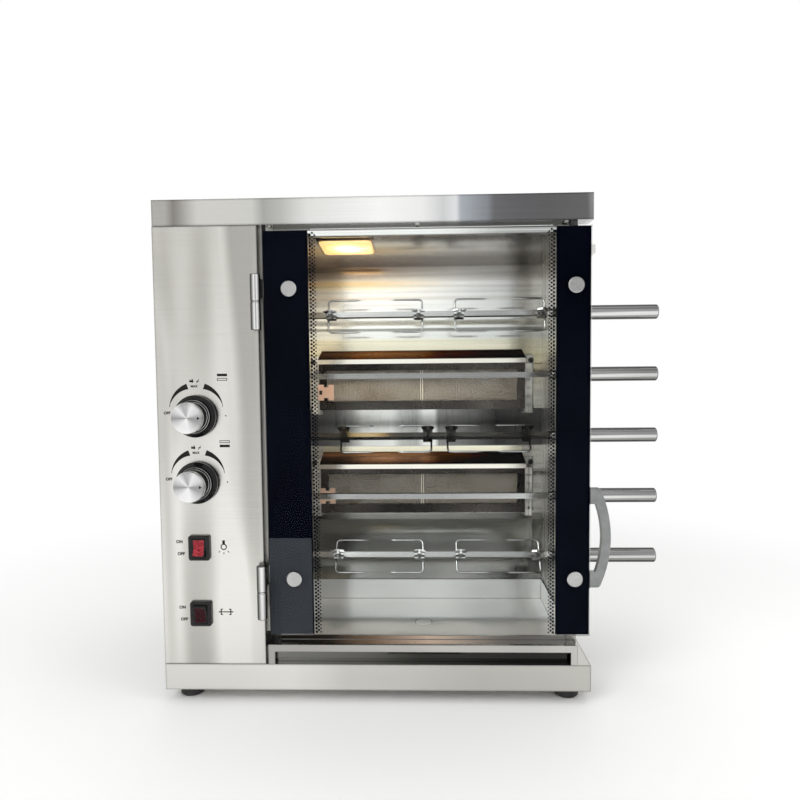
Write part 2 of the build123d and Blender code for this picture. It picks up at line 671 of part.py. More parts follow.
# Gear frame: a bearing plate on four posts that stand on the partition
gear_x = left + gear_set_in
frame_x = left + gear_frame_set_in
frame_sheet = 3.0
post_diameter = 10.0
post_reach = 70.0
post_heights = [middle_spit_height - 1.5 * spit_pitch, middle_spit_height + 1.5 * spit_pitch]
with BuildPart() as gear_frame:
    slab((frame_x - frame_sheet, frame_x), (spit_y - post_reach - 8, spit_y + post_reach + 8),
         (spit_heights[5] - 30, spit_heights[1] + 30))
    for y in (spit_y - post_reach, spit_y + post_reach):
        for z in post_heights:
            with Locations(along_x(frame_x, y, z)):
                Cylinder(post_diameter / 2, cavity_left - frame_x,
                         align=(Align.CENTER, Align.CENTER, Align.MIN))
    for z in spit_heights.values():
        with Locations(along_x(frame_x, spit_y, z)):
            Cylinder(bush_hole, 4 * frame_sheet, mode=Mode.SUBTRACT)
gear_frame.part.label = "gear_frame"
export_step(gear_frame.part, "parts/gear_frame.step")

# Flanged bushes: five in the bearing plate and five in the partition
bush_bore = shaft_diameter / 2 + running
bush_length = 6.0
bush_flange_height = 2.0
with BuildPart() as shaft_bushes:
    for z in spit_heights.values():
        for x in (frame_x, cavity_left + liner):
            with Locations(along_x(x, spit_y, z)):
                Cylinder(bush_diameter / 2, bush_length, align=(Align.CENTER, Align.CENTER, Align.MAX))
                Cylinder(bush_flange / 2, bush_flange_height, align=(Align.CENTER, Align.CENTER, Align.MIN))
                Cylinder(bush_bore, 4 * bush_length, mode=Mode.SUBTRACT)
shaft_bushes.part.label = "shaft_bushes"
export_step(shaft_bushes.part, "parts/shaft_bushes.step")

# Gear shafts: an involute gear, its shaft and the square drive socket, turned from one piece
pitch_radius = gear_module * gear_teeth / 2
base_radius = pitch_radius * cos(radians(pressure_angle))
tip_radius = pitch_radius + 0.95 * gear_module
root_radius = pitch_radius - 1.25 * gear_module


def flank_angle(radius):
    """Half of the tooth's angle, in radians, at one radius of the involute."""
    def involute(r):
        roll = sqrt(max((r / base_radius) ** 2 - 1, 0))
        return roll - atan2(roll, 1)
    half_at_pitch = (pi * gear_module / 2 - backlash / 2) / (2 * pitch_radius)
    return half_at_pitch + involute(pitch_radius) - involute(radius)


flank_radii = [root_radius - 1, base_radius, pitch_radius, tip_radius]
right_flank = [(r * cos(-flank_angle(r)), r * sin(-flank_angle(r))) for r in flank_radii]
left_flank = [(r * cos(flank_angle(r)), r * sin(flank_angle(r))) for r in reversed(flank_radii)]
with BuildSketch() as gear_tooth:
    with BuildLine():
        Polyline(*right_flank, *left_flank, close=True)
    make_face()

socket_x = cavity_left + liner + bush_flange_height + 2.0
socket_length = 18.0
socket_mouth = socket_x + socket_length
shaft_start = frame_x - frame_sheet - 5.0
motor_start = left + 20.0
gear_shafts = {}
for n, z in spit_heights.items():
    half_step = 180.0 / gear_teeth if n % 2 == 0 else 0.0
    shaft_from = motor_start + 40.0 if n == 3 else shaft_start
    with BuildPart() as gear_shaft:
        with BuildSketch(along_x(gear_x, spit_y, z)):
            Circle(root_radius)
            with PolarLocations(0, gear_teeth, start_angle=90 + half_step):
                add(gear_tooth.sketch)
        extrude(amount=gear_width)
        with Locations(along_x(shaft_from, spit_y, z)):
            Cylinder(shaft_diameter / 2, socket_x - shaft_from, align=(Align.CENTER, Align.CENTER, Align.MIN))
        with Locations(along_x(socket_x, spit_y, z)):
            Cylinder(socket_diameter / 2, socket_length, align=(Align.CENTER, Align.CENTER, Align.MIN))
        with BuildSketch(along_x(socket_mouth, spit_y, z)):
            Rectangle(rod_size + 2 * seat, rod_size + 2 * seat, rotation=-spit_angles[n - 1])
        extrude(amount=-engagement - 2, mode=Mode.SUBTRACT)
        for turn in range(6):
            angle = radians(60 * turn)
            with Locations(along_x(gear_x, spit_y + 34 * cos(angle), z + 34 * sin(angle))):
                Cylinder(9, 4 * gear_width, mode=Mode.SUBTRACT)
    gear_shaft.part.label = f"gear_shaft_{n}"
    export_step(gear_shaft.part, f"parts/gear_shaft_{n}.step")
    gear_shafts[n] = gear_shaft

# Gearmotor: a hollow-shaft gearbox round the middle shaft, with the motor on its outer end
with BuildPart() as gearmotor:
    gearbox_x = frame_x - frame_sheet - bush_length - gearbox_length
    with Locations(along_x(gearbox_x, spit_y, middle_spit_height)):
        Cylinder(gearbox_diameter / 2, gearbox_length, align=(Align.CENTER, Align.CENTER, Align.MIN))
        Cylinder(motor_diameter / 2, gearbox_x - motor_start, align=(Align.CENTER, Align.CENTER, Align.MAX))
    chamfer(gearmotor.edges().filter_by(GeomType.CIRCLE).sort_by(Axis.X)[0], 3)
    for y in (-20, 20):
        slab((gearbox_x + gearbox_length - 4, frame_x - frame_sheet), (spit_y + y - 5, spit_y + y + 5),
             (middle_spit_height - 5, middle_spit_height + 5))
    with Locations(along_x(motor_start + 38.0, spit_y, middle_spit_height)):
        Cylinder(shaft_diameter / 2 + running, 200, align=(Align.CENTER, Align.CENTER, Align.MIN),
                 mode=Mode.SUBTRACT)
gearmotor.part.label = "gearmotor"
export_step(gearmotor.part, "parts/gearmotor.step")

# Spits: a square rod with a tapered tip, a round journal that runs in the wall's slot,
# and a welded tube handle
rod_start = socket_mouth - engagement
journal_start = cavity_right - 9.0
handle_start = body_right + handle_gap
handle_end = right + handle_reach
for n, z in spit_heights.items():
    with BuildPart() as spit:
        with Locations(along_x(handle_start, spit_y, z)):
            Cylinder(handle_diameter / 2, handle_end - handle_start,
                     align=(Align.CENTER, Align.CENTER, Align.MIN))
        fillet(spit.edges().filter_by(GeomType.CIRCLE), 2.5)
        with Locations(along_x(handle_start + handle_cap, spit_y, z)):
            Cylinder(handle_diameter / 2 - handle_wall, handle_end - handle_start - 2 * handle_cap,
                     align=(Align.CENTER, Align.CENTER, Align.MIN), mode=Mode.SUBTRACT)
        with Locations(along_x(journal_start, spit_y, z)):
            Cylinder(journal_diameter / 2, handle_start + handle_cap - journal_start,
                     align=(Align.CENTER, Align.CENTER, Align.MIN))
        with BuildSketch(along_x(rod_start, spit_y, z)):
            Rectangle(rod_size, rod_size, rotation=-spit_angles[n - 1])
        extrude(amount=journal_start - rod_start)
        chamfer(spit.edges().group_by(Axis.X)[0], 2)
    spit.part.label = f"spit_{n}"
    export_step(spit.part, f"parts/spit_{n}.step")

# Meat forks: a square sleeve with a screw boss and a bent wire with two points, and the wing screw
boss_diameter = 9.0
boss_height = 4.0
wing_reach = 9.0
for n, places in fork_places.items():
    with BuildPart() as spit_forks:
        for k, place in enumerate(places):
            facing = 1 if k % 2 == 0 else -1
            tilt = radians(spit_angles[n - 1])
            # Fork frame: local x runs to the points, local z runs out to the screw
            screw_way = Vector(0, -cos(tilt), sin(tilt))
            origin = Vector(left + place, spit_y, spit_heights[n])
            fork_plane = Plane(origin=origin, x_dir=(facing, 0, 0), z_dir=screw_way)
            wire_x = -sleeve_length / 2 + tine_diameter / 2 + 0.5
            wire_z = -sleeve_size / 2
            with Locations(fork_plane):
                Box(sleeve_length, sleeve_size, sleeve_size)
                with Locations((0, 0, sleeve_size / 2)):
                    Cylinder(boss_diameter / 2, boss_height, align=(Align.CENTER, Align.CENTER, Align.MIN))
            with BuildLine() as wire_line:
                FilletPolyline(*[fork_plane.from_local_coords(Vector(*p)) for p in (
                    (wire_x + tine_length - tine_point, tine_span / 2, wire_z),
                    (wire_x, tine_span / 2, wire_z),
                    (wire_x, -tine_span / 2, wire_z),
                    (wire_x + tine_length - tine_point, -tine_span / 2, wire_z))],
                    radius=tine_bend)
            with BuildSketch(Plane(origin=wire_line.line @ 0, z_dir=wire_line.line % 0)) as wire_round:
                Circle(tine_diameter / 2)
            sweep()
            for side in (-1, 1):
                point_plane = Plane(origin=fork_plane.from_local_coords(
                    Vector(wire_x + tine_length - tine_point, side * tine_span / 2, wire_z)),
                    z_dir=(facing, 0, 0))
                with Locations(point_plane):
                    Cone(tine_diameter / 2, 0.4, tine_point, align=(Align.CENTER, Align.CENTER, Align.MIN))
            with Locations(fork_plane):
                Box(sleeve_length + 2, rod_size + 0.2, rod_size + 0.2, mode=Mode.SUBTRACT)
                with Locations((0, 0, rod_size / 2)):
                    Cylinder(2.6, 20, align=(Align.CENTER, Align.CENTER, Align.MIN), mode=Mode.SUBTRACT)
            # Wing screw: its tip is on the rod's face
            with Locations(fork_plane):
                with Locations((0, 0, rod_size / 2 + 0.1)):
                    Cylinder(2.5, wing_screw_length - 10, align=(Align.CENTER, Align.CENTER, Align.MIN))
                with Locations((0, 0, rod_size / 2 + wing_screw_length - 10)):
                    Cylinder(4, 6, align=(Align.CENTER, Align.CENTER, Align.MIN))
                for side in (-1, 1):
                    with Locations(Location((side * 5.5, 0, rod_size / 2 + wing_screw_length - 6),
                                            (0, side * 25, 0))):
                        Box(wing_reach, 2.4, 9)
    spit_forks.part.label = f"spit_forks_{n}"
    export_step(spit_forks.part, f"parts/spit_forks_{n}.step")

# Door glass, with a hole at each cap bolt
with BuildPart() as door_glass:
    slab((door_left, door_right), (glass_y, glass_y + glass_thickness), (door_bottom, door_top))
    chamfer(door_glass.edges(), 0.6)
    with Locations([along_y(x, glass_y, z) for x in cap_places for z in cap_heights]):
        Cylinder(bolt_diameter / 2 + 0.5, 4 * glass_thickness, mode=Mode.SUBTRACT)
door_glass.part.label = "door_glass"
export_step(door_glass.part, "parts/door_glass.step")

# Caps: a round head on the glass with a bolt through it into the stile
with BuildPart() as door_caps:
    for x in cap_places:
        for z in cap_heights:
            with Locations(Plane(origin=(x, glass_y, z), z_dir=(0, -1, 0))):
                Cylinder(cap_diameter / 2, cap_height, align=(Align.CENTER, Align.CENTER, Align.MIN))
                Cylinder(bolt_diameter / 2, glass_thickness + sheet + 3,
                         align=(Align.CENTER, Align.CENTER, Align.MAX))
    chamfer(door_caps.edges().filter_by(GeomType.CIRCLE).group_by(Axis.Y)[0], 0.8)
door_caps.part.label = "door_caps"
export_step(door_caps.part, "parts/door_caps.step")

# Stiles: folded channels behind the dark bands of the glass; the right one carries a lug for the catch
stile_ends = (door_bottom + 4, door_top - 3.5)
stile_spans = [(door_left + 4.5, door_left + 69), (door_right - 49, door_right - 1)]
lug_z = (door_top - 48, door_top - 28)
with BuildPart() as door_stiles:
    for x in stile_spans:
        slab(x, (stile_y, stile_y + stile_depth), stile_ends)
        slab((x[0] + sheet, x[1] - sheet), (stile_y + sheet, stile_y + stile_depth),
             (stile_ends[0] + sheet, stile_ends[1] - sheet), Mode.SUBTRACT)
    with BuildSketch(Plane.XZ.offset(-stile_y - 3)) as lug_profile:
        with BuildLine():
            Polyline((door_right - 1, lug_z[0]), (door_right + 7, lug_z[0] + 5),
                     (door_right + 7, lug_z[1] - 2),
                     (door_right - 1, lug_z[1]), close=True)
        make_face()
    extrude(amount=-6)
    with Locations([along_y(x, stile_y, z) for x in cap_places for z in cap_heights]):
        Cylinder(bolt_diameter / 2 + running, 6 * sheet, mode=Mode.SUBTRACT)
door_stiles.part.label = "door_stiles"
export_step(door_stiles.part, "parts/door_stiles.step")

# Bow handle: a curved bar on the right stile's outer side
bow_z = door_bottom + 160.0
bow_y = stile_y + 1.0
bow_foot = door_right - 1.0
bow_outer = door_right + bow_reach
with BuildPart() as door_handle:
    with BuildSketch(Plane.XZ.offset(-bow_y)) as bow_profile:
        with BuildLine():
            outside = ThreePointArc((bow_foot + bow_end, bow_z + bow_height / 2), (bow_outer, bow_z),
                                    (bow_foot + bow_end, bow_z - bow_height / 2))
            inside = ThreePointArc((bow_foot + bow_inset, bow_z - bow_height / 2 + bow_tab),
                                   (bow_outer - bow_thickness, bow_z),
                                   (bow_foot + bow_inset, bow_z + bow_height / 2 - bow_tab))
            Polyline(outside @ 1, (bow_foot, bow_z - bow_height / 2),
                     (bow_foot, bow_z - bow_height / 2 + bow_tab), inside @ 0)
            Polyline(inside @ 1, (bow_foot, bow_z + bow_height / 2 - bow_tab),
                     (bow_foot, bow_z + bow_height / 2), outside @ 0)
        make_face()
    extrude(amount=-bow_depth)
    fillet(door_handle.edges().filter_by(Axis.Y).group_by(Axis.X)[-1], 6.0)
    fillet(door_handle.edges().filter_by(GeomType.CIRCLE).filter_by(lambda e: e.radius > 50), 2.0)
door_handle.part.label = "door_handle"
export_step(door_handle.part, "parts/door_handle.step")

# Lift-off hinges: the pin half and washer stay on the control panel, the knuckle half carries the door
hinge_x = left + control_width - 2.0
hinge_y = front - hinge_radius - 0.5
pin_height = 30.0
leaf_x = hinge_x + 4.2
leaf_sheet = 2.5
with BuildPart() as hinge_washers:
    with Locations([(hinge_x, hinge_y, z + running) for z in hinge_heights]):
        Cylinder(hinge_radius - 0.5, washer_thickness - running,
                 align=(Align.CENTER, Align.CENTER, Align.MIN))
        Cylinder(hinge_pin_diameter / 2 + running, 4 * washer_thickness, mode=Mode.SUBTRACT)
with BuildPart() as hinge_pins:
    for z in hinge_heights:
        with Locations((hinge_x, hinge_y, z)):
            Cylinder(hinge_radius, hinge_half, align=(Align.CENTER, Align.CENTER, Align.MAX))
    fillet(hinge_pins.edges().filter_by(GeomType.CIRCLE), 1.5)
    for z in hinge_heights:
        with Locations((hinge_x, hinge_y, z - 1)):
            Cylinder(hinge_pin_diameter / 2, pin_height + 1, align=(Align.CENTER, Align.CENTER, Align.MIN))
        slab((hinge_x - 5, hinge_x + 1.5), (hinge_y, front), (z - hinge_half + 6, z - 6))
    add(hinge_washers.part)
hinge_pins.part.label = "hinge_pins"
export_step(hinge_pins.part, "parts/hinge_pins.step")

with BuildPart() as hinge_knuckles:
    for z in hinge_heights:
        knuckle_z = z + washer_thickness + 0.1
        with Locations((hinge_x, hinge_y, knuckle_z)):
            Cylinder(hinge_radius, hinge_half - washer_thickness,
                     align=(Align.CENTER, Align.CENTER, Align.MIN))
    fillet(hinge_knuckles.edges().filter_by(GeomType.CIRCLE), 1.5)
    for z in hinge_heights:
        knuckle_z = z + washer_thickness + 0.1
        leaf_z = (knuckle_z + 6, knuckle_z + hinge_half - washer_thickness - 6)
        slab((leaf_x, leaf_x + leaf_sheet), (hinge_y, stile_y + stile_depth - 1), leaf_z)
        slab((leaf_x, stile_spans[0][0]),
             (stile_y + stile_depth - 1 - leaf_sheet, stile_y + stile_depth - 1), leaf_z)
        with Locations((hinge_x, hinge_y, knuckle_z - 1)):
            Cylinder(hinge_pin_diameter / 2 + running, pin_height + 2,
                     align=(Align.CENTER, Align.CENTER, Align.MIN), mode=Mode.SUBTRACT)
hinge_knuckles.part.label = "hinge_knuckles"
export_step(hinge_knuckles.part, "parts/hinge_knuckles.step")

# Door catch: a small magnet block under the canopy, over the top of the right stile
catch_x = door_right - 27.0
with BuildPart() as door_catch:
    slab((catch_x - 5, catch_x + 5), (stile_y + 1, stile_y + stile_depth - 1),
         (stile_ends[1] + 0.4, canopy_bottom))
    chamfer(door_catch.edges().group_by(Axis.Z)[0], 0.8)
door_catch.part.label = "door_catch"
export_step(door_catch.part, "parts/door_catch.step")

# Knobs: the plug turns in the valve, and the knob slides on the plug's spindle when it is pressed
skirt_gap = knob_push + 1.0
hub_depth = 20.0
for name, z in knob_heights.items():
    face = Plane(origin=(knob_x, front, z), x_dir=(1, 0, 0), z_dir=(0, -1, 0))
    with BuildPart() as valve_plug:
        with Locations(face.offset(-plug_start - 1)):
            Cylinder(plug_diameter / 2 - running, plug_length - 2,
                     align=(Align.CENTER, Align.CENTER, Align.MAX))
            Cylinder(spindle_diameter / 2, plug_start + 1 + skirt_gap + hub_depth,
                     align=(Align.CENTER, Align.CENTER, Align.MIN))
    valve_plug.part.label = f"{name}_valve_plug"
    export_step(valve_plug.part, f"parts/{name}_valve_plug.step")

    # Half section of the skirt: (radius, distance in front of the panel)
    neck_top = knob_reach - 9.5
    skirt_section = [(0, skirt_gap), (knob_diameter / 2, skirt_gap), (knob_diameter / 2, skirt_gap + 5),
                     (knob_diameter / 2 - 5, skirt_gap + 11), (neck_diameter / 2 + 3, skirt_gap + 11),
                     (neck_diameter / 2 + 3, skirt_gap + 13), (neck_diameter / 2, skirt_gap + 13),
                     (neck_diameter / 2, neck_top), (0, neck_top)]
    with BuildPart() as knob_skirt:
        with BuildSketch(Plane(origin=(knob_x, front, z), x_dir=(1, 0, 0), z_dir=(0, 0, 1))):
            with BuildLine():
                Polyline(*[(r, -d) for r, d in skirt_section], close=True)
            make_face()
        revolve(axis=Axis((knob_x, front, z), (0, 1, 0)))
        with Locations(face.offset(skirt_gap)):
            Cylinder(spindle_diameter / 2 + running, 2 * (hub_depth + knob_push + 1), mode=Mode.SUBTRACT)
    knob_skirt.part.label = f"{name}_knob_skirt"
    export_step(knob_skirt.part, f"parts/{name}_knob_skirt.step")

    with BuildPart() as knob_cap:
        with Locations(face.offset(neck_top)):
            Cylinder(knob_cap_diameter / 2, knob_reach - neck_top,
                     align=(Align.CENTER, Align.CENTER, Align.MIN))
        fillet(knob_cap.edges().filter_by(GeomType.CIRCLE).group_by(Axis.Y)[0], 2.2)
        with Locations(face.offset(knob_reach + 140 - 1.0)):
            Sphere(140, mode=Mode.SUBTRACT)
    knob_cap.part.label = f"{name}_knob_cap"
    export_step(knob_cap.part, f"parts/{name}_knob_cap.step")

# Rocker switches: the bezel with its body behind the panel, and the rocker on its pivot
bezel_proud = 6.0
switch_body_depth = 24.0
rocker_pin = 3.0
rocker_pivot = front - 3.0
with BuildPart() as switch_bezels:
    for z in switch_heights.values():
        with BuildSketch(Plane(origin=(switch_x, front, z), x_dir=(1, 0, 0), z_dir=(0, -1, 0))):
            RectangleRounded(bezel_width, bezel_height, 4)
        extrude(amount=bezel_proud)
    chamfer(switch_bezels.edges().group_by(Axis.Y)[0], 1.4)
    for z in switch_heights.values():
        slab((switch_x - switch_body_width / 2, switch_x + switch_body_width / 2),
             (front, front + switch_body_depth), (z - switch_body_height / 2, z + switch_body_height / 2))
        slab((switch_x - rocker_width / 2 - slack, switch_x + rocker_width / 2 + slack),
             (front - 2 * bezel_proud, front + switch_body_depth - 3),
             (z - rocker_height / 2 - slack, z + rocker_height / 2 + slack), Mode.SUBTRACT)
        with Locations(along_x(switch_x, rocker_pivot, z)):
            Cylinder(rocker_pin / 2 + running, switch_body_width - 3, mode=Mode.SUBTRACT)
switch_bezels.part.label = "switch_bezels"
export_step(switch_bezels.part, "parts/switch_bezels.step")

# The rocker's front is a shallow V; the pressed half of it lies parallel to the panel
rocker_proud = 6.2
rocker_radius = rocker_height / 2
corner_angle = degrees(asin(rocker_proud / rocker_radius))
corner_z = rocker_radius * cos(radians(corner_angle))
valley = rocker_proud - corner_z * tan(radians(rocker_tilt))
tail_angle = 30.0
for name, z in switch_heights.items():
    rest = radians(-rocker_tilt if name == "upper" else rocker_tilt)
    # Local x is up the panel and local y is out of it
    tilted = Plane(origin=(switch_x, rocker_pivot, z), x_dir=(0, -sin(rest), cos(rest)), z_dir=(1, 0, 0))
    with BuildPart() as rocker:
        with BuildSketch(tilted.offset(-rocker_width / 2)):
            with BuildLine():
                top_end = CenterArc((0, 0), rocker_radius, -tail_angle, tail_angle + corner_angle)
                bottom_end = CenterArc((0, 0), rocker_radius, 180 - corner_angle, tail_angle + corner_angle)
                Polyline(top_end @ 1, (0, valley), bottom_end @ 0)
                Line(bottom_end @ 1, top_end @ 0)
            make_face()
        extrude(amount=rocker_width)
        with Locations(along_x(switch_x, rocker_pivot, z)):
            Cylinder(rocker_pin / 2, switch_body_width - 4)
    rocker.part.label = f"{name}_rocker"
    export_step(rocker.part, f"parts/{name}_rocker.step")
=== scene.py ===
# Gas rotisserie oven: finishes and small pieces over the CAD frame, with a plain studio round it.
from math import cos, pi, radians, sin

import bmesh
import bpy
from mathutils import Matrix, Vector


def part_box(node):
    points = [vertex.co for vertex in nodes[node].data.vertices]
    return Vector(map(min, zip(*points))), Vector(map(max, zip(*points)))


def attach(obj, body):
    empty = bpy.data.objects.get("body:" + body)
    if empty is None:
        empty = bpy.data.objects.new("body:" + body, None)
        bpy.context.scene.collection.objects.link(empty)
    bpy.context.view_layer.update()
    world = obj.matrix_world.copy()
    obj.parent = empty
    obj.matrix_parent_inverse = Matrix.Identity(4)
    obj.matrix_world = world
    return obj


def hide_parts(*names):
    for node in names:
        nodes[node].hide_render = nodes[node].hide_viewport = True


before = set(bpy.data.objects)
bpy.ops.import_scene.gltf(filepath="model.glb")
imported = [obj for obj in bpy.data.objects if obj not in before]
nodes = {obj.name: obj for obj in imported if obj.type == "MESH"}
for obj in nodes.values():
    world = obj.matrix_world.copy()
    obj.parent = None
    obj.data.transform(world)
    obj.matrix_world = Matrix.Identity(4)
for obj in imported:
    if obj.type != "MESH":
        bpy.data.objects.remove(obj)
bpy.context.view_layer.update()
scene = bpy.context.scene
scene.view_settings.view_transform = "Standard"
print("frame loaded:", len(nodes), "CAD pieces")

# Landmarks, all in metres and all read from the CAD
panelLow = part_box("control_panel")[0]
glassLow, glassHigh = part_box("door_glass")
plaqueLow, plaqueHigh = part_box("burner_plaques")
bracketLow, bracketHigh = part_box("burner_brackets")
ovenLeft, ovenFront = panelLow.x, panelLow.y
knobCentres, switchCentres = {}, {}
for which in ("upper", "lower"):
    for centres, ending in ((knobCentres, "_valve_plug"), (switchCentres, "_rocker")):
        low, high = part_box(which + ending)
        centres[which] = Vector(((low.x + high.x) / 2, ovenFront, (low.z + high.z) / 2))

# Small helpers for shader nodes


def addNode(tree, kind, inputs=None, **settings):
    # An input takes a plain value, or the socket that feeds it
    node = tree.nodes.new("ShaderNode" + kind)
    for key, value in settings.items():
        setattr(node, key, value)
    for key, value in (inputs or {}).items():
        if isinstance(value, bpy.types.NodeSocket):
            tree.links.new(value, node.inputs[key])
        else:
            node.inputs[key].default_value = value
    return node


def maths(tree, operation, *values):
    return addNode(tree, "Math", dict(enumerate(values)), operation=operation).outputs["Value"]


def rgba(colour):
    # One number stands for a grey
    return (*colour, 1) if isinstance(colour, tuple) else (colour, colour, colour, 1)


def startMaterial(name, sockets):
    material = bpy.data.materials.new(name)
    material.use_nodes = True
    shader = material.node_tree.nodes["Principled BSDF"]
    for socket, value in sockets.items():
        shader.inputs[socket].default_value = value
    return material, material.node_tree, shader


def feed(shader, sockets):
    for socket, source in sockets.items():
        shader.id_data.links.new(source, shader.inputs[socket])


def objectPattern(tree, stretch=(1, 1, 1), place=(0, 0, 0), turn=(0, 0, 0)):
    coords = addNode(tree, "TexCoord").outputs["Object"]
    placed = {"Vector": coords, "Location": place, "Rotation": turn, "Scale": stretch}
    return addNode(tree, "Mapping", placed).outputs["Vector"]


def noisePattern(tree, stretch, scale=1.0, detail=2.0, warp=0.0):
    settings = {"Vector": objectPattern(tree, stretch), "Scale": scale, "Detail": detail, "Distortion": warp}
    return addNode(tree, "TexNoise", settings).outputs["Fac"]


def ramp(source, stops):
    node = addNode(source.id_data, "ValToRGB", {"Fac": source})
    elements = node.color_ramp.elements
    while len(elements) < len(stops):
        elements.new(0.5)
    for element, (position, colour) in zip(elements, stops):
        element.position = position
        element.color = rgba(colour)
    return node.outputs["Color"]


def spread(source, low, high, fromLow=0.3, fromHigh=0.7):
    limits = {"Value": source, "From Min": fromLow, "From Max": fromHigh, "To Min": low, "To Max": high}
    return addNode(source.id_data, "MapRange", limits).outputs["Result"]


def blendColours(tree, factor, first, second, mode="MIX"):
    node = addNode(tree, "Mix", data_type="RGBA", blend_type=mode)
    for socket, value in (("Factor", factor), ("A", first), ("B", second)):
        target = next(s for s in node.inputs if s.name == socket and s.enabled)
        if isinstance(value, bpy.types.NodeSocket):
            tree.links.new(value, target)
        else:
            target.default_value = value if socket == "Factor" else rgba(value)
    return next(s for s in node.outputs if s.enabled)


def multiplied(first, second):
    return blendColours(first.id_data, 1.0, first, second, "MULTIPLY")


def bumped(shader, source, strength, distance):
    bump = addNode(shader.id_data, "Bump", {"Strength": strength, "Distance": distance, "Height": source})
    feed(shader, {"Normal": bump.outputs["Normal"]})


def paintedEdgeShade(colour, radius, paintedDark):
    # Painted shade: folds and cut edges are painted as thin dark lines
    tree = colour.id_data
    edge = addNode(tree, "Bevel", {"Radius": radius}, samples=4).outputs["Normal"]
    flat = addNode(tree, "NewGeometry").outputs["True Normal"]
    level = addNode(tree, "VectorMath", {0: edge, 1: flat}, operation="DOT_PRODUCT")
    return multiplied(colour, ramp(level.outputs["Value"], [(0.80, paintedDark), (0.97, 1)]))


def paintedSheen(tree, stops):
    # Painted highlight and painted shade: bright and dark lines along round metal, standing in for gloss
    weight = addNode(tree, "LayerWeight", {"Blend": 0.5})
    return ramp(weight.outputs["Facing"], [(at, (tone, tone, tone * 0.985)) for at, tone in stops])


def axisOf(tree, axis):
    coords = addNode(tree, "TexCoord").outputs["Object"]
    return addNode(tree, "SeparateXYZ", {"Vector": coords}).outputs[axis]


def along(tree, axis, low, high, wave=None, by=0.0):
    # How far along an axis from LOW to HIGH, as 0 to 1; a wave makes it wander by a share of the way
    share = spread(axisOf(tree, axis), -by / 2, 1 - by / 2, low, high)
    return maths(tree, "MULTIPLY_ADD", wave, by, share) if wave else share


def isFrontFace(tree):
    # 1 where the surface looks out of the oven's front, else 0
    flat = addNode(tree, "NewGeometry").outputs["True Normal"]
    level = addNode(tree, "VectorMath", {0: flat, 1: (0, -1, 0)}, operation="DOT_PRODUCT")
    return maths(tree, "GREATER_THAN", level.outputs["Value"], 0.9)


def isNear(tree, source, low, high):
    return maths(tree, "COMPARE", source, (low + high) / 2, (high - low) / 2)


def brushedRound(shader, axis):
    around = addNode(shader.id_data, "Tangent", direction_type="RADIAL", axis=axis)
    feed(shader, {"Tangent": around.outputs["Tangent"]})
